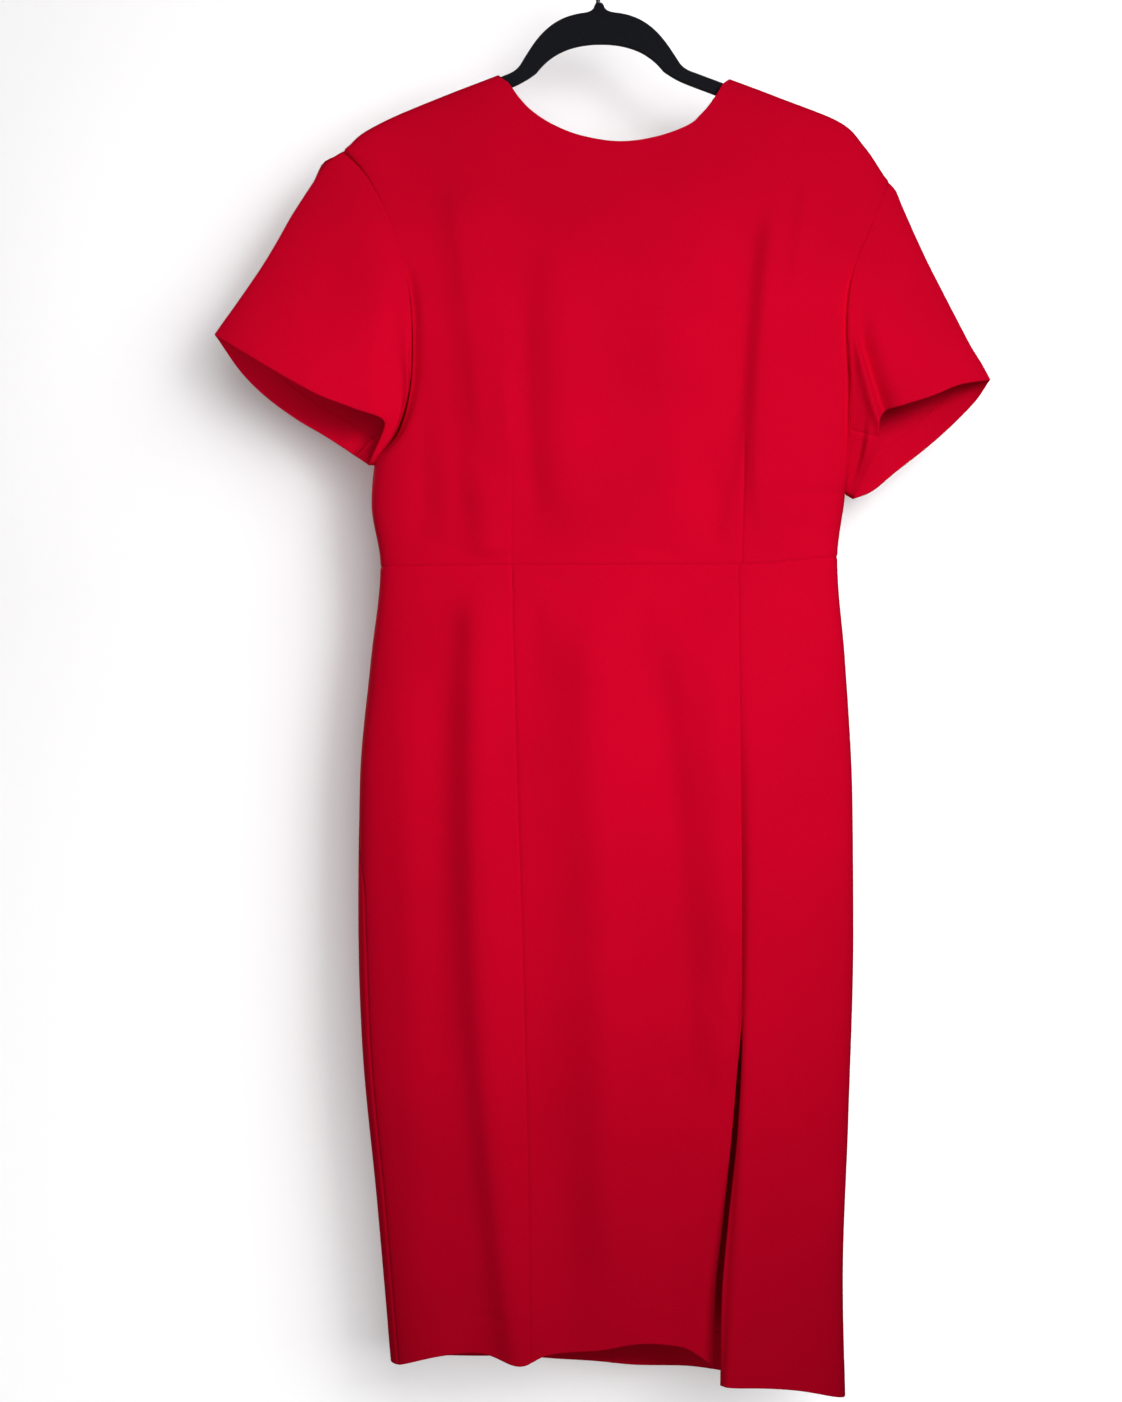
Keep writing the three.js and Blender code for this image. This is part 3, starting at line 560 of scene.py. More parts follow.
def edge_fullness(points, free, slit=None):
    """sqrt(1 - (1 - distance / radius)^2): how much of its thickness the cloth has near a free edge."""
    full = np.ones(points.shape[:2])
    for name, distance in edge_distances(points).items():
        if name in free or name == slit:
            near = 1 - np.clip(distance / EDGE_ROUND, 0, 1)
            part = np.maximum(np.sqrt(1 - near**2), EDGE_LEAST)
            opened = points[..., 2] < SLIT_TOP if name == slit else True
            full = np.where(opened, np.minimum(full, part), full)
    return full


# %% [markdown]
# ## Walls of cloth
#
# The two faces and the strips that join them become one closed mesh. The same steps serve every
# piece: `cloth_wall` takes any grid and its directions, and `body_panel` starts from places round the
# body. Both give back the piece and the area of its cloth.


# %% Walls
def wall_faces(rows, columns, wrapped):
    """Quads of the outer grid, the inner grid turned round, and the strips that join their edges."""
    ids = np.arange(rows * columns).reshape(rows, columns)
    if wrapped:
        ids = np.concatenate([ids, ids[:, :1]], axis=1)
    inner = ids + rows * columns
    outer_quads = np.stack([ids[:-1, :-1], ids[1:, :-1], ids[1:, 1:], ids[:-1, 1:]], -1)
    inner_quads = np.stack([inner[:-1, :-1], inner[:-1, 1:], inner[1:, 1:], inner[1:, :-1]], -1)
    top = np.stack([ids[0, :-1], ids[0, 1:], inner[0, 1:], inner[0, :-1]], -1)
    end = np.stack([ids[-1, 1:], ids[-1, :-1], inner[-1, :-1], inner[-1, 1:]], -1)
    parts = [outer_quads.reshape(-1, 4), inner_quads.reshape(-1, 4), top, end]
    if not wrapped:
        parts.append(np.stack([ids[1:, 0], ids[:-1, 0], inner[:-1, 0], inner[1:, 0]], -1))
        parts.append(np.stack([ids[:-1, -1], ids[1:, -1], inner[1:, -1], inner[:-1, -1]], -1))
    return np.concatenate(parts)


def new_mesh(name, points, faces, shading=True):
    """Points in millimetres and faces as a mesh object in metres, smooth but where shading is False."""
    mesh = bpy.data.meshes.new(name)
    mesh.from_pydata((points * MM).tolist(), [], faces)
    mesh.polygons.foreach_set("use_smooth", np.ones(len(faces), bool) & shading)
    mesh.update()
    obj = bpy.data.objects.new(name, mesh)
    bpy.context.scene.collection.objects.link(obj)
    return obj


def take_place(obj, node, body="dress_and_hanger"):
    """The object stands for a node of the frame and moves with that node's body."""
    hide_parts(node)
    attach(obj, body)


def cloth_wall(name, middle, out, node, full, hem=0, wrapped=False):
    """A closed wall: middle + out * outer and middle - out * inner, joined, double below a hem line."""
    rows, columns = middle.shape[:2]
    to_edge = edge_distances(middle)["bottom"]
    doubled = smooth((hem + HEM_STEP / 2 - to_edge) / HEM_STEP) if hem else 0 * to_edge
    stitched = STITCH_DEEP * valley(to_edge - hem, STITCH_WIDE) if hem else 0
    outer = (CLOTH / 2 + HEM_LIFT * doubled - stitched) * full
    inner = (CLOTH / 2 + HEM_DOUBLE * doubled) * full
    shell = [middle + out * outer[..., None], middle - out * inner[..., None]]
    points = np.concatenate([face.reshape(-1, 3) for face in shell])
    obj = new_mesh(name, points, wall_faces(rows, columns, wrapped).tolist())
    step_round = np.diff(middle, axis=1)
    step_down = np.diff(middle, axis=0)
    patches = np.linalg.norm(np.cross(step_round[:-1], step_down[:, :-1]), axis=-1)
    area = float(patches.sum()) * MM * MM
    print(name, len(obj.data.polygons) * 2, "triangles,", round(area, 4), "m2")
    take_place(obj, node)
    RED_PIECES.append(obj)
    return obj, area


def body_panel(name, node, around, z, sewn, surface=ring_point, hem=0, slit=None, sink=None, roll=None):
    """The cloth wall of one panel from its places round the body and its heights.

    Two functions of its points may be given: sink, a further depth, and roll, the seams' strength.
    """
    points = surface(around, z)
    out = outward(surface, around, z)
    depth = seam_roll(points, sewn, slit, roll(points) if roll else 1)
    if sink is not None:
        depth = depth + sink(points)
    points = points - out * depth[..., None]
    free = [edge for edge in ("left", "right", "top", "bottom") if edge not in sewn]
    return cloth_wall(name, points, out, node, edge_fullness(points, free, slit), hem)


# %% [markdown]
# ## Bodice
#
# The front bodice is one piece with a dart under each bust. Its grid follows the darts: two guide
# lines run up from the waist through the darts to the neckline, and the columns between them spread
# evenly. The rows follow the two sides, up the side seam, round the armhole and along the shoulder,
# and are drawn down to the neckline in the middle. Low at each armhole the bodice falls away behind
# the front of the sleeve, which leaves a soft shaded fold there.

# %% Bodice front
RIGHT_GUIDE = Table("z x", (-150, -60), (-200, -62), (-330, -72), (-455, -76), (-577, -76))
LEFT_GUIDE = Table("z x", (-150, 95), (-200, 100), (-330, 122), (-455, 127.5), (-577, 125))
GUIDE_SHARES = (0, 0.3, 0.67, 1)
UNDERARM_SHARE = 0.18
SHOULDER_SHARE = 0.7
BODICE_LONG = 430
FRONT_WIDE = 480
FRONT_ROW_STEP = 3.0
SETTLING = 6  # rounds in which the rows and the guided columns find each other
DART_WIDE = 1.5
# Each dart has a line, the height of its top, the length it fades in over, and a depth.
FRONT_DARTS = ((RIGHT_GUIDE, -452, 90, 0.35), (LEFT_GUIDE, -448, 45, 1.0))
UNDER_SLEEVE = {"right": 4.2, "left": 2.4}
UNDER_IN = 1.5
UNDER_WIDE = 6
UNDER_FROM = -300
UNDER_TO = -492
UNDER_FADES = (50, 40)

# %% [markdown]
# ## The grid and the darts of the bodice
#
# Rows and columns depend on each other, since a guide line's place across depends on the height. So
# the two are worked out in turn a few times, which is enough for them to settle.


# %% Bodice front surface
def side_height(marks, waist_z, v):
    """Height on a side at share v up the panel: to the underarm, then the shoulder tip, then the neck."""
    low, high = UNDERARM_SHARE, SHOULDER_SHARE
    to_underarm = lerp(waist_z, marks["underarm"], v / low)
    to_tip = lerp(marks["underarm"], marks["shoulder"], (v - low) / (high - low))
    to_neck = lerp(marks["shoulder"], marks["neck"], (v - high) / (1 - high))
    return np.where(v < low, to_underarm, np.where(v < high, to_tip, to_neck))


def bodice_height(face, across, v):
    """The side rows, lerped across, scaled so that v = 1 lies on the neckline."""
    waist_z = WAIST.read("z", face_point(face, across, 0 * across + WAIST_HIGH)[..., 0])
    level = lerp(side_height(RIGHT_MARKS, waist_z, v), side_height(LEFT_MARKS, waist_z, v), across)
    edge_top = lerp(RIGHT_MARKS["neck"], LEFT_MARKS["neck"], across)
    drop = BACK_NECK_DROP * np.sin(np.pi * across) if face > 0 else 0
    top = NECKLINE.read("z", across) - drop
    return waist_z + (level - waist_z) * (top - waist_z) / (edge_top - waist_z)


def guided(u, z):
    """The share across at column u: straight between the two edges and the two dart guides."""
    right = around_at(-1, RIGHT_GUIDE.read("x", z), z)
    left = around_at(-1, LEFT_GUIDE.read("x", z), z)
    right_share, left_share = GUIDE_SHARES[1:3]
    first = right * u / right_share
    second = lerp(right, left, (u - right_share) / (left_share - right_share))
    third = lerp(left, 1, (u - left_share) / (1 - left_share))
    return np.where(u < right_share, first, np.where(u < left_share, second, third))


def dart_sink(points, darts):
    """deep * valley(away, wide) down each dart's line, fading in below its top."""
    x, z = points[..., 0], points[..., 2]
    sink = np.zeros(z.shape)
    for line, top_z, fade, deep in darts:
        sink += deep * smooth((top_z - z) / fade) * valley(x - line.read("x", z), DART_WIDE)
    return sink


def front_sink(points):
    """The darts, and deep * valley(away, wide) a little inside the low part of each armhole."""
    x, z = points[..., 0], points[..., 2]
    sink = dart_sink(points, FRONT_DARTS)
    low = smooth((UNDER_FROM - z) / UNDER_FADES[0]) * smooth((z - UNDER_TO) / UNDER_FADES[1])
    right, left = edges(-1, z)
    for side, inside in (("right", x - right), ("left", left - x)):
        sink += UNDER_SLEEVE[side] * low * valley(inside - UNDER_IN, UNDER_WIDE)
    return sink


u = share_steps(FRONT_WIDE, GRID_STEP, GUIDE_SHARES)[None, :]
v = share_steps(BODICE_LONG, FRONT_ROW_STEP)[::-1][:, None]
across = u + 0 * v
for _ in range(SETTLING):
    z = bodice_height(-1, across, v)
    across = guided(u, z)
SEWN_BELOW = ("left", "right", "bottom")
bodice_front, front_area = body_panel(
    "bodice_front_cloth", "bodice_front", across, z, SEWN_BELOW, sink=front_sink, roll=armhole_roll
)

# %% [markdown]
# ## Bodice back
#
# Two mirror-like halves meet at the centre back, where the concealed zip runs. A concealed zip shows
# only as a seam, so both halves simply roll in there. Each half has one long waist dart.


# %% Bodice back
BACK_HALF_WIDE = 240
BACK_LOOK = np.array(-400.0)
BACK_DARTS = (
    (Table("z x", (-400, -86), (-577, -86)), -400, 60, 0.8),
    (Table("z x", (-405, 100), (-577, 100)), -405, 60, 0.8),
)


def back_sink(points):
    """The two back darts."""
    return dart_sink(points, BACK_DARTS)


def bodice_back(node, start, end, dart_share):
    """A back half: places lerped between two seams, heights as on the front."""
    u = share_steps(BACK_HALF_WIDE, GRID_STEP, (0, dart_share, 1))[None, :]
    v = share_steps(BODICE_LONG, GRID_STEP)[::-1][:, None]
    rough = lerp(start(BACK_LOOK), end(BACK_LOOK), u) + 0 * v
    z = bodice_height(1, 2 - rough, v)
    around = lerp(start(z), end(z), u)
    return body_panel(node + "_cloth", node, around, z, SEWN_BELOW, sink=back_sink)


def left_side(z):
    """The place round the ring of the left side seam."""
    return 1 + 0 * z


def back_seam(z):
    """The place round the ring of the centre back seam."""
    return around_at(1, CENTRE_BACK.read("x", z), z)


def right_side(z):
    """The place of the right side of the bodice once round the ring."""
    return 2 + 0 * z


back_left, back_left_area = bodice_back("bodice_back_left", left_side, back_seam, 0.47)
back_right, back_right_area = bodice_back("bodice_back_right", back_seam, right_side, 0.49)

# %% [markdown]
# ## Skirt
#
# Three front panels and two back ones hang from the waist seam. The slit opens low in the seam
# between the centre and left panels: the centre panel's edge falls back behind the other's, which
# stands a little forward. On the wearer's right the side seam swings to the front below the hip.


# %% Skirt
SKIRT_HEM = 34
SKIRT_LONG = 700
SKIRT_ROW_STEP = 4.0


def slit_surface(column, move):
    """The ring, with the edge of the slit moved front to back, more towards the hem and the edge."""

    def surface(around, z):
        points = ring_point(around, z)
        down = smooth((SLIT_TOP - z) / (SLIT_TOP - HEM_LOOK))
        near = smooth(1 - np.abs(points[..., 0] - SKIRT_SEAMS.read(column, z)) / SLIT_REACH)
        points[..., 1] += move * down * near
        return points

    return surface


def seam_at(column):
    """A skirt seam as a function of height that gives its place round the ring."""
    return lambda z: around_at(-1, SKIRT_SEAMS.read(column, z), z)


def side_shift(z):
    """The place of the right side seam: how far it has swung to the front, as a share across."""
    return SKIRT_SEAMS.read("side_shift", z)


def right_side_skirt(z):
    """The place of the right side seam once round the ring."""
    return 2 + side_shift(z)


def skirt_panel(name, start, end, hem, wide, surface=ring_point, slit=None):
    """Heights run from the waist seam to the hem, and places between the two seams."""
    u = share_steps(wide, GRID_STEP)[None, :]
    v = share_steps(SKIRT_LONG, SKIRT_ROW_STEP, (0, 1 - SKIRT_HEM / SKIRT_LONG, 1))[:, None]
    look, high = np.array(float(HEM_LOOK)), np.array(float(WAIST_HIGH))
    hem_x = ring_point(lerp(start(look), end(look), u), look + 0 * u)[..., 0]
    top_x = ring_point(lerp(start(high), end(high), u), high + 0 * u)[..., 0]
    z = lerp(WAIST.read("z", top_x), hem.read("z", hem_x), v)
    around = lerp(start(z), end(z), u)
    sewn = ("left", "right", "top")
    return body_panel(name + "_cloth", name, around, z, sewn, surface, SKIRT_HEM, slit)


right_seam, inner_edge, outer_edge = seam_at("right"), seam_at("inner"), seam_at("outer")
centre_surface = slit_surface("inner", SLIT_SINK)
left_surface = slit_surface("outer", -SLIT_LIFT)
skirt = [
    skirt_panel("skirt_front_right", side_shift, right_seam, FRONT_HEM, 130),
    skirt_panel("skirt_front_centre", right_seam, inner_edge, FRONT_HEM, 195, centre_surface, "right"),
    skirt_panel("skirt_front_left", outer_edge, left_side, LEFT_PANEL_HEM, 115, left_surface, "left"),
    skirt_panel("skirt_back_left", left_side, back_seam, BACK_HEM, 225),
    skirt_panel("skirt_back_right", back_seam, right_side_skirt, BACK_HEM, 225),
]

# %% [markdown]
# ## Sleeves
#
# A short sleeve is one piece joined under the arm. Its surface runs straight from the armhole ring to
# the cuff ring, place by place round the arm. The head is shaped a little along its top line: it
# stands fuller on the wearer's right and lies flatter on the left.

# %% Sleeves
RIGHT_CUFF = Table(
    "share front_x front_z back_x back_z",
    (0, -339, -371.5, -339, -371.5),
    (1 / 6, -311, -389.5, -318.6, -401.5),
    (2 / 6, -279, -409, -297.4, -422.8),
    (3 / 6, -244.5, -428, -271, -442.3),
    (4 / 6, -212.5, -440, -244.3, -458.2),
    (5 / 6, -188, -452, -219, -475),
    (1, -203, -486.5, -203, -486.5),
)
LEFT_CUFF = Table(
    "share front_x front_z back_x back_z",
    (0, 347, -411.5, 347, -411.5),
    (1 / 6, 318, -417.5, 337, -428),
    (2 / 6, 292, -428.5, 317, -449),
    (3 / 6, 267, -436.5, 294.7, -468.8),
    (4 / 6, 249, -443, 270, -488.3),
    (5 / 6, 244.5, -470, 246, -507.8),
    (1, 226.5, -516.5, 226.5, -516.5),
)
CUFF_DEPTH = 30
CUFF_HEM = 22
SLEEVE_LONG = 150
SLEEVE_ROUND = 420
SLEEVE_ROW_STEP = 3.0
SLEEVE_STEP = 0.01
RIGHT_UNDERARM = 1.13
LEFT_UNDERARM = 0.8
UNDERARM_DEEP = 0.7
FOLDS_START = 0.06
SLEEVE_HEAD = Table(
    "along right left",
    (0, 0, 0),
    (0.05, 4.5, 2.3),
    (0.1, 6.8, 1.4),
    (0.25, 6.1, -0.5),
    (0.375, 5, -1.6),
    (0.5, 2.4, -1.9),
    (0.65, 0.4, -1.9),
    (0.8, 0, -1.8),
    (0.92, 0, -0.4),
    (1, 0, 0),
)

# Sleeve folds are placed in hundredths of the way: x round the ring, 0 to 200, and z down to -100.
RIGHT_SLEEVE_FOLDS = Table(
    FOLD_NAMES,
    (0, 33, -100, 78, 0, 13, 6, -3.2, 30, 0),
    (-7, 50, -8, 98, 0, 7, 5, -3.6, 18, 0),
    (-20, 14, -100, 40, 2, 7, 9, 1.2, 30, 25),
    (-48, 60, -100, 66, 0, 4, 3, 1.2, 20, 0),
    (-10, 150, -100, 132, 0, 9, 12, -2.4, 25, 0),
    (-40, 176, -100, 170, 0, 6, 6, 1.4, 30, 20),
    (-55, 118, -100, 116, 0, 4, 4, -2.2, 20, 0),
)
LEFT_SLEEVE_FOLDS = Table(
    FOLD_NAMES,
    (-4, 42, -100, 67, 1, 9, 2.4, 7.5, 25, 0),
    (-4.5, 47, -100, 73, 1, 2.4, 7, -3.4, 25, 0),
    (-45, 84, -100, 87, 0, 8, 7, -4.5, 25, 0),
    (-15, 16, -90, 30, -1, 8, 8, 1.2, 30, 30),
    (-10, 146, -100, 128, 0, 10, 12, -2.4, 25, 0),
    (-50, 172, -100, 176, 0, 6, 6, 1.3, 30, 20),
)

# %% [markdown]
# ## From the armhole to the cuff
#
# The two rings bulge front and back by the same curve as the body's armhole, so sleeve and bodice meet
# all round. Folds are sunk into the tube along its direction outwards, and so is the underarm seam.


# %% Sleeve surface
def sleeve_ends(marks, edge, cuff, around):
    """The armhole ring and the cuff ring at places round them, both bulged by sin(pi share)^round."""
    turn = np.mod(around, 2)
    front = turn <= 1
    share = np.where(front, turn, 2 - turn)
    bulge = np.where(front, -1, 1) * arch(share) ** ARMHOLE_ROUND
    start_z = lerp(marks["shoulder"], marks["underarm"], share)
    start_x = np.where(front, edge.read("front", start_z), edge.read("back", start_z))
    end_x = np.where(front, cuff.read("front_x", share), cuff.read("back_x", share))
    end_z = np.where(front, cuff.read("front_z", share), cuff.read("back_z", share))
    start = np.stack([start_x, ARMHOLE_DEPTH * bulge, start_z], -1)
    end = np.stack([end_x, CUFF_DEPTH * bulge, end_z], -1)
    return start, end, share


def sleeve_point(side, marks, edge, cuff, around, along):
    """start + (end - start) * along + the head's swell * (1 - share)^2, square to the top line."""
    start, end, share = sleeve_ends(marks, edge, cuff, around)
    top_start, top_end, _ = sleeve_ends(marks, edge, cuff, np.zeros(1))
    run = unit(top_end - top_start)[0]
    upwards = np.sign(run[0]) * np.array([-run[2], 0, run[0]])
    swell = SLEEVE_HEAD.read(side, along) * (1 - share) ** 2
    return start + (end - start) * along[..., None] + swell[..., None] * upwards


def sleeve(name, side, marks, edge, cuff, folds, underarm):
    """A closed tube of cloth, its direction outwards from the ways round and along."""
    away = np.sign(cuff.grid[0, 1])
    around = 2 * share_steps(SLEEVE_ROUND, GRID_STEP, (0, underarm / 2, 1))[:-1][None, :]
    along = share_steps(SLEEVE_LONG, SLEEVE_ROW_STEP, (0, 1 - CUFF_HEM / SLEEVE_LONG, 1))[:, None]
    around, along = around + 0 * along, along + 0 * around

    def point(a, b):
        return sleeve_point(side, marks, edge, cuff, a, b)

    middle = point(around, along)
    ahead, behind = np.minimum(along + SLEEVE_STEP, 1), np.maximum(along - SLEEVE_STEP, 0)
    way_round = point(around + SLEEVE_STEP, along) - point(around - SLEEVE_STEP, along)
    way_along = point(around, ahead) - point(around, behind)
    out = unit(np.cross(way_round, way_along) * away)
    reach = edge_distances(middle)["left"]
    seam_column = int(np.argmin(np.abs(around[0] - underarm)))
    from_seam = reach - reach[:, [seam_column]]
    sink = seam_roll(middle, ("top",), strength=armhole_roll(middle))
    sink += UNDERARM_DEEP * valley(from_seam, ROLL_WIDE)
    sink += fold_depth(folds, around * 100, -along * 100) * smooth(along / FOLDS_START)
    middle = middle - out * sink[..., None]
    full = edge_fullness(middle, ("bottom",))
    if away > 0:
        middle, out, full = middle[:, ::-1], out[:, ::-1], full[:, ::-1]
    return cloth_wall(name + "_cloth", middle, out, name, full, CUFF_HEM, wrapped=True)


sleeve_right, sleeve_right_area = sleeve(
    "sleeve_right", "right", RIGHT_MARKS, RIGHT_EDGE, RIGHT_CUFF, RIGHT_SLEEVE_FOLDS, RIGHT_UNDERARM
)
sleeve_left, sleeve_left_area = sleeve(
    "sleeve_left", "left", LEFT_MARKS, LEFT_EDGE, LEFT_CUFF, LEFT_SLEEVE_FOLDS, LEFT_UNDERARM
)

# %% [markdown]
# ## The cloth of the skirt
#
# The areas of the five skirt panels, each measured on its middle surface, add up to the skirt's cloth.


print("skirt cloth", round(sum(area for _, area in skirt), 3), "m2")

# %% [markdown]
# ## Plates and wires
#
# The hard parts are of two sorts. A plate is an outline given a thickness, with its rim rounded by a
# quarter circle on each face. A wire or a strip is a section carried along a path, with domed ends.


# %% Shapes for hard parts
DOME_RINGS = 5
DOME_START = 0.2


def ring_faces(rows, columns, closed_path):
    """Quads between neighbouring rings, and a flat face on each end unless the rings meet."""
    ids = np.arange(rows * columns).reshape(rows, columns)
    ends = [] if closed_path else [ids[0, ::-1].tolist(), ids[-1].tolist()]
    if closed_path:
        ids = np.concatenate([ids, ids[:1]])
    ids = np.concatenate([ids, ids[:, :1]], axis=1)
    quads = np.stack([ids[:-1, :-1], ids[:-1, 1:], ids[1:, 1:], ids[1:, :-1]], -1)
    return quads.reshape(-1, 4).tolist() + ends


def plate(outline, thick, rim, steps=7):
    """inset = rim * (1 - sin a), y = -+(thick / 2 - rim + rim * cos a), a from 0 to a right angle."""
    ahead = np.roll(outline, -1, axis=0) - np.roll(outline, 1, axis=0)
    inwards = unit(np.stack([ahead[:, 1], -ahead[:, 0]], -1))
    a = np.linspace(0, np.pi / 2, steps)
    inset = rim * (1 - np.sin(a))
    y = -(thick / 2 - rim + rim * np.cos(a))
    inset, y = np.concatenate([inset, inset[::-1]]), np.concatenate([y, -y[::-1]])
    flat = outline[None] + inwards[None] * inset[:, None, None]
    y = np.broadcast_to(y[:, None], flat.shape[:2])
    points = np.stack([flat[..., 0], y, flat[..., 1]], -1).reshape(-1, 3)
    return points, ring_faces(2 * steps, len(outline), False)


def filled(wave, power):
    """sign(wave) * |wave|^power, which fills the corners of an oval for a power below 1."""
    return np.sign(wave) * np.abs(wave) ** power


def carried(path, sideways, wide, thick, power=1.0, closed_path=False, sides=20):
    """path + wide / 2 * cos^power * normal + thick / 2 * sin^power * sideways, at each of its points."""
    if closed_path:
        ahead = unit(np.roll(path, -1, axis=0) - np.roll(path, 1, axis=0))
    else:
        ahead = unit(np.gradient(path, axis=0))
    size = np.ones(len(path))
    if not closed_path:
        dome = np.linspace(DOME_START, np.pi / 2, DOME_RINGS + 1)[:-1]
        back = np.cos(dome)[:, None] * thick / 2
        path = np.concatenate([path[0] - ahead[0] * back, path, (path[-1] + ahead[-1] * back)[::-1]])
        ahead = np.pad(ahead, ((DOME_RINGS, DOME_RINGS), (0, 0)), "edge")
        size = np.concatenate([np.sin(dome), size, np.sin(dome)[::-1]])
    normal = np.cross(sideways, ahead)
    angle = np.linspace(0, 2 * np.pi, sides, endpoint=False)
    a = wide / 2 * filled(np.cos(angle), power)
    b = thick / 2 * filled(np.sin(angle), power)
    across = a[None, :, None] * normal[:, None] + b[None, :, None] * np.array(sideways)
    points = path[:, None] + across * size[:, None, None]
    return points.reshape(-1, 3), ring_faces(len(path), sides, closed_path)


def curve(*controls, count=16):
    """A Bezier curve between its end controls: lerps repeated until one point is left."""
    t = np.linspace(0, 1, count)[:, None]
    points = [np.array(control, float) + 0 * t for control in controls]
    while len(points) > 1:
        points = [lerp(first, second, t) for first, second in zip(points[:-1], points[1:])]
    return points[0]


def turned(points, axis, angle):
    """a cos t - z sin t and a sin t + z cos t, where a is x for axis 0 and y for axis 1."""
    a, z = points[:, axis], points[:, 2]
    made = points.copy()
    made[:, axis] = a * np.cos(angle) - z * np.sin(angle)
    made[:, 2] = a * np.sin(angle) + z * np.cos(angle)
    return made


def hard_part(name, shapes, place, body="dress_and_hanger"):
    """Shapes joined in one mesh, its end faces flat, put in the frame by a function of points."""
    points, faces = [], []
    for shape_points, shape_faces in shapes:
        start = sum(len(part) for part in points)
        points.append(place(shape_points))
        faces += [[start + corner for corner in face] for face in shape_faces]
    shading = np.array([len(face) == 4 for face in faces])
    obj = new_mesh(name, np.concatenate(points), faces, shading)
    take_place(obj, name.removesuffix("_part"), body)
    print(name, len(faces), "faces")
    return obj


# %% [markdown]
# ## Hanger
#
# A flat moulded hanger: sloping arms, and an arch that rises between them to the collar of the hook.
# Half the outline is drawn with curves and the other half mirrors it. The whole hangs a little off
# level. The wire hook leaves the collar, bends to one side and goes over the rail in a round arc.

# %% Hanger
HANGER_THICK = 6
HANGER_RIM = 1.6
HANGER_TILT = 0.013
COLLAR_TOP = -77.5
ARCH_TOP = -85.6
ARCH_INSIDE = -114.4
ARCH_HALF = 70
ARM_START = 84
ARM_REACH = 188
ARM_HIGH = 13
ARM_LINE = -107.8
ARM_SLOPE = 0.392
HOOK_WIRE = 3.8
HOOK_RADIUS = 22.9
HOOK_STEM_END = -59.5
HOOK_ARC = (236, -12)


def on_arm(x, below=0):
    """A point on the upper edge of an arm, or so far below it."""
    return x, ARM_LINE - ARM_SLOPE * x - below


# The outline's numbers are control points in millimetres, from the middle of the hook and the rail.
def hanger_outline():
    """From the collar out along an arm, round its end, back below it and over the arch, then mirrored."""
    end = ARM_REACH
    run = [
        curve((0, COLLAR_TOP), (3.6, COLLAR_TOP), (4.3, COLLAR_TOP - 3.2), count=10),
        curve((4.3, COLLAR_TOP - 3.2), (5.3, ARCH_TOP + 0.4), (13, ARCH_TOP - 0.8)),
        curve((13, ARCH_TOP - 0.8), (46, ARCH_TOP - 4), (58, -112), (ARCH_HALF, -131), count=28),
        curve((ARCH_HALF, -131), (ARCH_HALF + 4, on_arm(ARCH_HALF + 6)[1]), on_arm(ARM_START)),
        curve(on_arm(ARM_START), on_arm(end), count=12),
        curve(on_arm(end), on_arm(end + 10), on_arm(end + 16, 5)),
        curve(on_arm(end + 16, 5), on_arm(end + 17, ARM_HIGH), on_arm(end + 6, ARM_HIGH)),
        curve(on_arm(end + 6, ARM_HIGH), on_arm(ARM_START - 6, ARM_HIGH), count=12),
        curve(on_arm(ARM_START - 6, ARM_HIGH), on_arm(ARCH_HALF - 4, ARM_HIGH), (ARCH_HALF - 14, -139)),
        curve((ARCH_HALF - 14, -139), (44, -123), (26, ARCH_INSIDE), (0, ARCH_INSIDE), count=28),
    ]
    half = np.concatenate([piece[:-1] for piece in run] + [run[-1][-1:]])
    return np.concatenate([half, half[-2:0:-1] * (-1, 1)])


def tilted(points):
    """Turned about the rail by the hanger's tilt."""
    return turned(points, 0, HANGER_TILT)


def hook_path():
    """A straight stem, a cubic bend to the side and a round arc, in the plane of the hanger."""
    r = HOOK_RADIUS
    angle = np.radians(np.linspace(*HOOK_ARC, 64))
    centre = -(r - HOOK_WIRE / 2)
    arc = np.stack([r * np.cos(angle), centre + r * np.sin(angle)], -1)
    join = arc[0]
    straight_on = (0, HOOK_STEM_END + 0.25 * r)
    into_arc = (join[0] + 0.5 * r, join[1] - 0.34 * r)
    bend = curve((0, HOOK_STEM_END), straight_on, into_arc, join, count=24)
    stem = curve((0, COLLAR_TOP - 1.5), (0, HOOK_STEM_END), count=8)
    flat = np.concatenate([stem[:-1], bend[:-1], arc])
    return np.stack([flat[:, 0], 0 * flat[:, 0], flat[:, 1]], -1)


outline = hanger_outline()
hanger_part = hard_part("hanger_body_part", [plate(outline, HANGER_THICK, HANGER_RIM)], tilted)
wire = carried(hook_path(), (0, 1, 0), HOOK_WIRE, HOOK_WIRE)
hook_part = hard_part("hanger_hook_part", [wire], lambda points: points)

# %% [markdown]
# ## Zip slider and pull tab
#
# The die-cast slider of a concealed zip sits on the cloth at the top of the centre back seam. It has
# a bridge, and the tab hangs from the bridge by a ring, so that it swings out from the dress.

# %% Zip
SEAT_GAP = 0.6
ZIP_DOWN = 9
SLIDER = {"half_wide": 3.5, "half_high": 5.5, "thick": 2.6, "rim": 0.9, "power": 0.5, "taper": 0.1}
BRIDGE = {"half_high": 3.3, "from_y": 2.0, "out": 3.5, "wide": 1.1, "thick": 2.2, "power": 0.6}
TAB_OUT = 3.8
TAB_RING = {"half_wide": 3.0, "half_high": 2.6, "wire": 1.0, "power": 0.6}
TAB_PLATE = {"half_wide": 3.6, "thick": 1.0, "rim": 0.35, "power": 0.42, "taper": 0.06}
TAB_TOP = -4.9
TAB_BOTTOM = -24.0


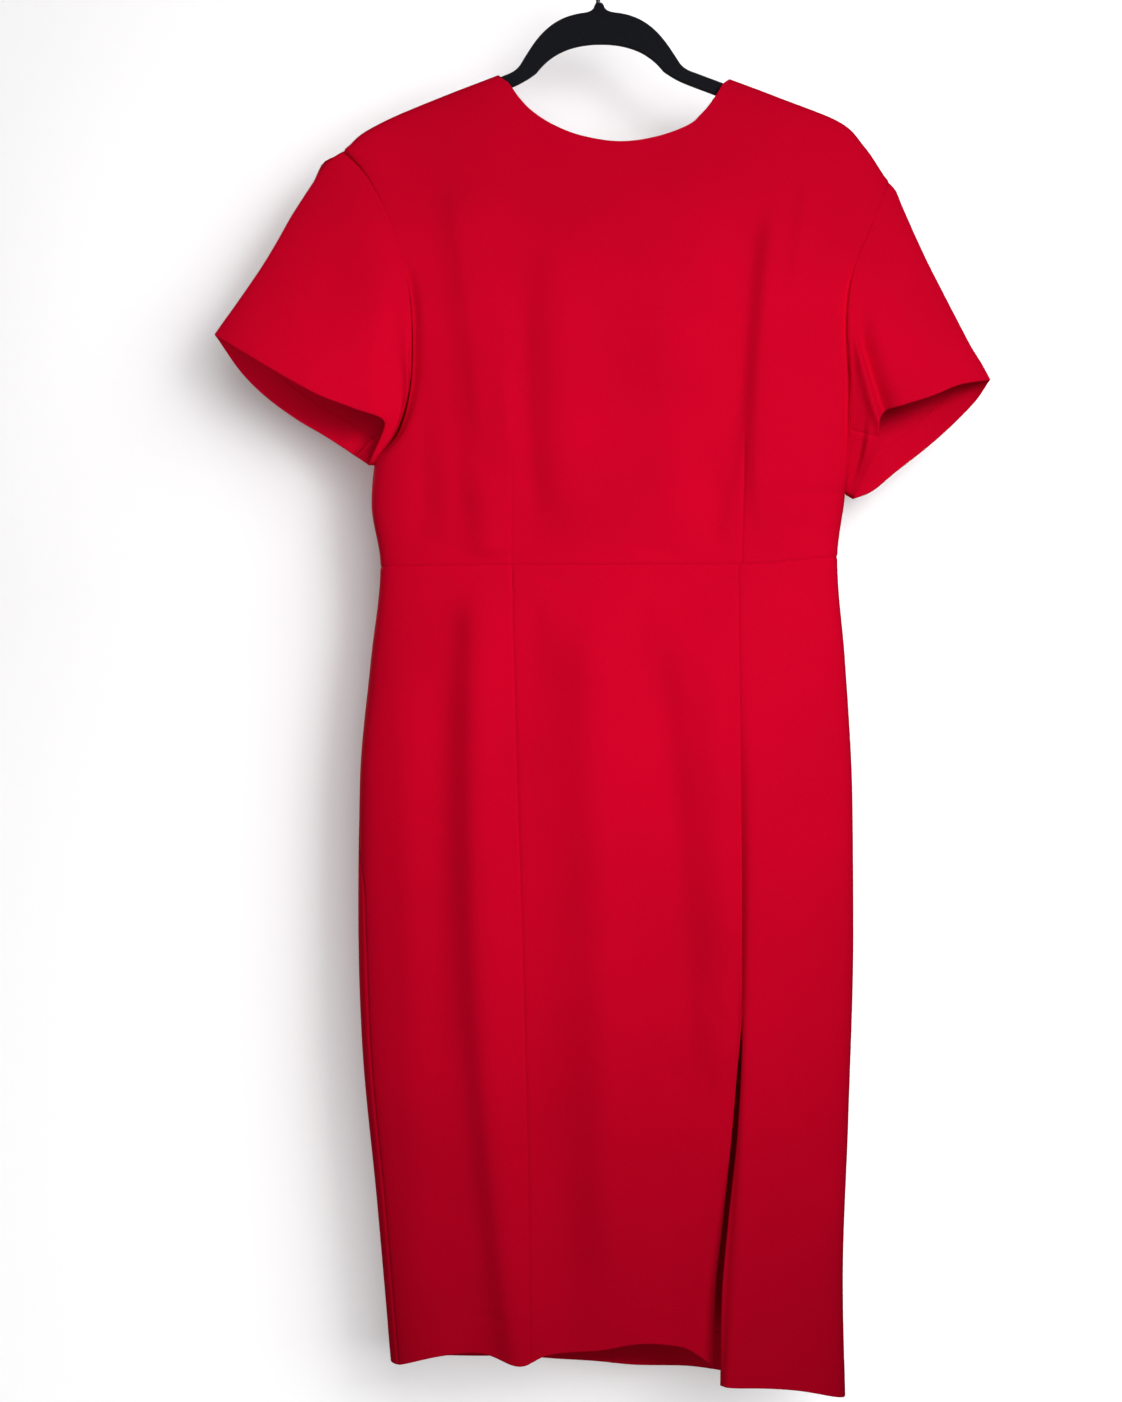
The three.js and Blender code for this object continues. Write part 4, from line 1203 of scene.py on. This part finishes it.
def squircle(half_wide, half_high, power, count=72):
    """x = wide * cos^power, z = high * sin^power: an oval with full corners, run round clockwise."""
    angle = -np.linspace(0, 2 * np.pi, count, endpoint=False)
    x = half_wide * filled(np.cos(angle), power)
    z = half_high * filled(np.sin(angle), power)
    return np.stack([x, z], -1)


zip_z = bodice_height(1, np.array([0.5]), np.array([1.0])) - ZIP_DOWN
zip_seat = ring_point(back_seam(zip_z), zip_z)[0]
lower_z = zip_z - 2 * SLIDER["half_high"]
lower_seat = ring_point(back_seam(lower_z), lower_z)[0]
zip_lean = np.arctan2(lower_seat[1] - zip_seat[1], 2 * SLIDER["half_high"])
zip_seat = zip_seat + [0, CLOTH / 2 + SEAT_GAP, 0]


def on_back(points):
    """Turned by the lean of the cloth at the zip, and moved to its seat."""
    return turned(points, 1, zip_lean) + zip_seat


def moved(shape, y, z=0):
    """A shape moved along y and z."""
    return shape[0] + [0, y, z], shape[1]


slider_outline = squircle(SLIDER["half_wide"], SLIDER["half_high"], SLIDER["power"])
slider_outline[:, 0] *= 1 - SLIDER["taper"] + SLIDER["taper"] * np.tanh(slider_outline[:, 1])
half_turn = np.linspace(0, np.pi, 24)
bridge_y = BRIDGE["from_y"] + BRIDGE["out"] * np.sin(half_turn) ** BRIDGE["power"]
bridge_path = np.stack([0 * half_turn, bridge_y, BRIDGE["half_high"] * np.cos(half_turn)], -1)
bridge = carried(bridge_path, (1, 0, 0), BRIDGE["wide"], BRIDGE["thick"], BRIDGE["power"])
slider_plate = plate(slider_outline, SLIDER["thick"], SLIDER["rim"])
slider_shapes = [moved(slider_plate, SLIDER["thick"] / 2), bridge]
slider_part = hard_part("zip_slider_part", slider_shapes, on_back)

loop = squircle(TAB_RING["half_wide"], TAB_RING["half_high"], TAB_RING["power"])
loop_path = np.stack([loop[:, 0], 0 * loop[:, 0], loop[:, 1]], -1)
ring = carried(loop_path, (0, 1, 0), TAB_RING["wire"], TAB_RING["wire"], closed_path=True)
tab_half = (TAB_TOP - TAB_BOTTOM) / 2
tab_outline = squircle(TAB_PLATE["half_wide"], tab_half, TAB_PLATE["power"])
tab_outline[:, 0] *= 1 - TAB_PLATE["taper"] - TAB_PLATE["taper"] * tab_outline[:, 1] / tab_half
tab_plate = plate(tab_outline, TAB_PLATE["thick"], TAB_PLATE["rim"])
tab_middle = (TAB_TOP + TAB_BOTTOM) / 2
tab_shapes = [moved(ring, TAB_OUT, -TAB_RING["half_high"]), moved(tab_plate, TAB_OUT, tab_middle)]
tab_part = hard_part("zip_pull_tab_part", tab_shapes, on_back, "pull_tab")
print("zip leans", round(float(np.degrees(zip_lean)), 1), "degrees")

# %% [markdown]
# ## Colour and node helpers
#
# Paint charts give colours as sRGB hex, and Blender's sockets want linear light. One small function
# turns the one to the other, and another adds a shader node with its settings and links.


# %% Helpers for materials
def linear(hex_colour):
    """((c + 0.055) / 1.055)^2.4 for each channel above the toe, and c / 12.92 below it."""
    channels = [int(hex_colour[i : i + 2], 16) / 255 for i in (1, 3, 5)]
    return tuple(c / 12.92 if c <= 0.04045 else ((c + 0.055) / 1.055) ** 2.4 for c in channels) + (1,)


def node(tree, kind, links=None, **settings):
    """Adds a node. Settings name sockets or properties, and links join sockets to outputs."""
    made = tree.nodes.new(kind)
    for key, value in settings.items():
        if hasattr(made, key):
            setattr(made, key, value)
        else:
            made.inputs[key.replace("_", " ")].default_value = value
    for key, (source, output) in (links or {}).items():
        tree.links.new(source.outputs[output], made.inputs[key])
    return made


def new_material(name):
    """An empty node material and its tree."""
    material = bpy.data.materials.new(name)
    material.use_nodes = True
    material.node_tree.nodes.clear()
    return material, material.node_tree


def noise(tree, size_mm, detail, roughness):
    """Noise fixed to the object, its grains about the given size."""
    coords = node(tree, "ShaderNodeTexCoord")
    return node(
        tree,
        "ShaderNodeTexNoise",
        {"Vector": (coords, "Object")},
        Scale=1 / (size_mm * MM),
        Detail=detail,
        Roughness=roughness,
    )


def spread(tree, source, low, high):
    """The middle of a noise, 0.3 to 0.7, spread between two values."""
    ends = {"From_Min": 0.3, "From_Max": 0.7, "To_Min": low, "To_Max": high}
    return node(tree, "ShaderNodeMapRange", {"Value": (source, "Fac")}, **ends)


# %% [markdown]
# ## Crepe
#
# Crepe is woven from hard-twisted yarn that curls back on itself, so the face is a fine matt pebble
# with no clear thread lines. It takes dye deeply: the red is full, and there is next to no shine. The
# pebble of real crepe is about 0.4 mm, too fine to show from here, so it is drawn at 1.1 mm.

# %% Crepe
PEBBLE_MM = 1.1
CLOUD_MM = 110

crepe, tree = new_material("dyed_crepe")
pebble = noise(tree, PEBBLE_MM, 2.0, 0.6)
cloud = noise(tree, CLOUD_MM, 3.0, 0.5)
tint = spread(tree, cloud, 0.96, 1.04)
fleck = spread(tree, pebble, 0.95, 1.04)
both = node(tree, "ShaderNodeMath", {0: (tint, "Result"), 1: (fleck, "Result")}, operation="MULTIPLY")
dye = node(tree, "ShaderNodeHueSaturation", {"Value": (both, "Value")}, Color=linear("#d20027"))
bump = node(tree, "ShaderNodeBump", {"Height": (pebble, "Fac")}, Strength=0.35, Distance=0.15 * MM)
surface = node(
    tree,
    "ShaderNodeBsdfPrincipled",
    {"Base Color": (dye, "Color"), "Normal": (bump, "Normal")},
    Roughness=0.85,
    Sheen_Weight=0.05,
    Sheen_Roughness=0.5,
    Sheen_Tint=linear("#ff0a2c"),
    Specular_IOR_Level=0.03,
)
node(tree, "ShaderNodeOutputMaterial", {"Surface": (surface, "BSDF")})
for obj in RED_PIECES:
    obj.data.materials.append(crepe)
print("crepe on", len(RED_PIECES), "pieces")

# %% [markdown]
# ## Hanger, hook and zip
#
# The hanger is moulded plastic with a flocked face: a short dark nap that keeps straps from slipping
# and takes almost all the light. Its fibres are too fine to show from here, so the nap is drawn in
# grains of 0.9 mm. The hook is lacquered wire, and the zip's metal is painted to match the cloth. Both
# have a thin smooth film whose gloss varies a little over a few millimetres.

# %% Hanger and zip finishes
NAP_MM = 0.9
FILM_MM = 3

flock, tree = new_material("flocked_plastic")
nap = noise(tree, NAP_MM, 3.0, 0.7)
worn = node(tree, "ShaderNodeValToRGB", {"Fac": (nap, "Fac")})
worn.color_ramp.elements[0].color = linear("#0c0d11")
worn.color_ramp.elements[1].color = linear("#212229")
bump = node(tree, "ShaderNodeBump", {"Height": (nap, "Fac")}, Strength=0.4, Distance=0.2 * MM)
surface = node(
    tree,
    "ShaderNodeBsdfPrincipled",
    {"Base Color": (worn, "Color"), "Normal": (bump, "Normal")},
    Roughness=0.92,
    Sheen_Weight=0.04,
    Sheen_Roughness=0.6,
    Specular_IOR_Level=0.1,
)
node(tree, "ShaderNodeOutputMaterial", {"Surface": (surface, "BSDF")})


def lacquer(name, hex_colour, roughness):
    """Lacquered metal: a thin coloured film, slightly uneven, over wire or a die-cast part."""
    material, tree = new_material(name)
    uneven = noise(tree, FILM_MM, 2.0, 0.5)
    gloss = spread(tree, uneven, roughness - 0.06, roughness + 0.08)
    surface = node(
        tree,
        "ShaderNodeBsdfPrincipled",
        {"Roughness": (gloss, "Result")},
        Base_Color=linear(hex_colour),
        Coat_Weight=0.3,
    )
    node(tree, "ShaderNodeOutputMaterial", {"Surface": (surface, "BSDF")})
    return material


wire_lacquer = lacquer("lacquered_wire", "#08090a", 0.5)
zip_paint = lacquer("painted_zip_metal", "#a3001e", 0.38)
for obj, finish, slot in (
    (hanger_part, flock, "hanger_flock"),
    (hook_part, wire_lacquer, "hook_wire"),
    (slider_part, zip_paint, "zip_paint"),
    (tab_part, zip_paint, "zip_paint"),
):
    obj.data.materials.append(finish)
    print(obj.name, "has", finish.name)

# %% [markdown]
# ## Backdrop
#
# The dress hangs just off a pale wall that curves into a pale floor. The sweep is seen only by the
# camera and only from its front, so that it takes the dress's soft shadow and yet leaves the back of
# the dress open to view and to light. It glows a little, and more towards the floor, where the light
# of its own lamp runs out.

# %% Backdrop
WALL_AWAY = 88
WALL_HIGH = 1500
FLOOR_LOW = -1750
FLOOR_OUT = 4500
SWEEP_RADIUS = 350
SWEEP_HALF = 4000


def sweep_profile():
    """Down the wall, a quarter circle, and out along the floor, as (y, z) pairs."""
    angle = np.linspace(0, np.pi / 2, 24)
    curve_y = WALL_AWAY - SWEEP_RADIUS + SWEEP_RADIUS * np.cos(angle)
    curve_z = FLOOR_LOW + SWEEP_RADIUS - SWEEP_RADIUS * np.sin(angle)
    y = np.concatenate([[WALL_AWAY], curve_y, [-FLOOR_OUT]])
    z = np.concatenate([[WALL_HIGH], curve_z, [FLOOR_LOW]])
    return y, z


sweep_y, sweep_z = sweep_profile()
sweep_x = np.array([-SWEEP_HALF, SWEEP_HALF])
sweep = np.stack(np.broadcast_arrays(sweep_x[None, :], sweep_y[:, None], sweep_z[:, None]), -1)
ids = np.arange(sweep.shape[0] * 2).reshape(-1, 2)
quads = np.stack([ids[:-1, 0], ids[1:, 0], ids[1:, 1], ids[:-1, 1]], -1)
backdrop = new_mesh("backdrop", sweep.reshape(-1, 3), quads.tolist())
for ray in ("diffuse", "glossy", "transmission", "shadow", "volume_scatter"):
    setattr(backdrop, "visible_" + ray, False)
paper, tree = new_material("paper_sweep")
side = node(tree, "ShaderNodeNewGeometry")
coords = node(tree, "ShaderNodeTexCoord")
parts = node(tree, "ShaderNodeSeparateXYZ", {"Vector": (coords, "Object")})
ends = {"From_Min": -1.35, "From_Max": -0.6, "To_Min": 0.38, "To_Max": 0.16}
glow = node(tree, "ShaderNodeMapRange", {"Value": (parts, "Z")}, **ends)
sheet_white = node(tree, "ShaderNodeBsdfDiffuse", Color=linear("#949394"))
lit = node(tree, "ShaderNodeEmission", {"Strength": (glow, "Result")})
bright = node(tree, "ShaderNodeAddShader", {0: (sheet_white, "BSDF"), 1: (lit, "Emission")})
clear = node(tree, "ShaderNodeBsdfTransparent")
from_behind = {0: (side, "Backfacing"), 1: (bright, "Shader"), 2: (clear, "BSDF")}
one_way = node(tree, "ShaderNodeMixShader", from_behind)
node(tree, "ShaderNodeOutputMaterial", {"Surface": (one_way, "Shader")})
backdrop.data.materials.append(paper)
print("backdrop", WALL_AWAY, "mm behind the middle plane")

# %% [markdown]
# ## Studio light
#
# Each lamp is a square softbox turned to face the dress, with a grid that keeps its light within an
# angle. The key is about level with the rail, on the wearer's left, and models the folds. A weaker fill
# stands nearer the middle on the other side. A low lamp brightens the skirt and reaches into the cuffs
# from below, and a small narrow one lights the sleeve on the wearer's right. A key and a fill behind
# light the back. The wall has a wide lamp of its own, linked to it alone, so that wall and dress can be
# lit apart.

# %% Light
world = bpy.data.worlds.new("studio")
bpy.context.scene.world = world
world.use_nodes = True
world.node_tree.nodes["Background"].inputs["Color"].default_value = linear("#f6f7fa")
world.node_tree.nodes["Background"].inputs["Strength"].default_value = 0.08


def softbox(name, place, target, size, watts, degrees):
    """A square lamp, so many metres wide, whose face looks at the target, its light within an angle."""
    data = bpy.data.lights.new(name, "AREA")
    data.size = size
    data.energy = watts
    data.spread = np.radians(degrees)
    lamp = bpy.data.objects.new(name, data)
    place, target = np.array(place) * MM, np.array(target) * MM
    look = target - place
    lamp.location = place
    flat = np.hypot(look[0], look[1])
    lamp.rotation_euler = (np.arctan2(flat, -look[2]), 0, np.arctan2(look[1], look[0]) - np.pi / 2)
    bpy.context.scene.collection.objects.link(lamp)
    return lamp


softbox("key", (1100, -2200, 100), (40, 0, -600), 0.9, 3.5, 40)
softbox("fill", (-400, -2600, -100), (0, 0, -360), 1.0, 0.75, 46)
softbox("low", (-300, -2000, -2000), (0, 0, -900), 0.9, 1.9, 90)
softbox("sleeve", (-900, -2000, -1500), (-320, 0, -360), 0.3, 0.07, 9)
softbox("rear key", (-1700, 1900, 200), (0, 0, -680), 0.9, 3.4, 46)
softbox("rear fill", (900, 2400, -300), (0, 0, -650), 1.0, 1.0, 50)

wall_lamp = softbox("wall wash", (1100, -2200, 100), (0, 0, -600), 3.0, 285, 180)
wall_only = bpy.data.collections.new("wall only")
wall_only.objects.link(backdrop)
wall_lamp.light_linking.receiver_collection = wall_only
print("lamps", [light.name for light in bpy.data.lights])

bpy.context.scene.view_settings.view_transform = "Standard"
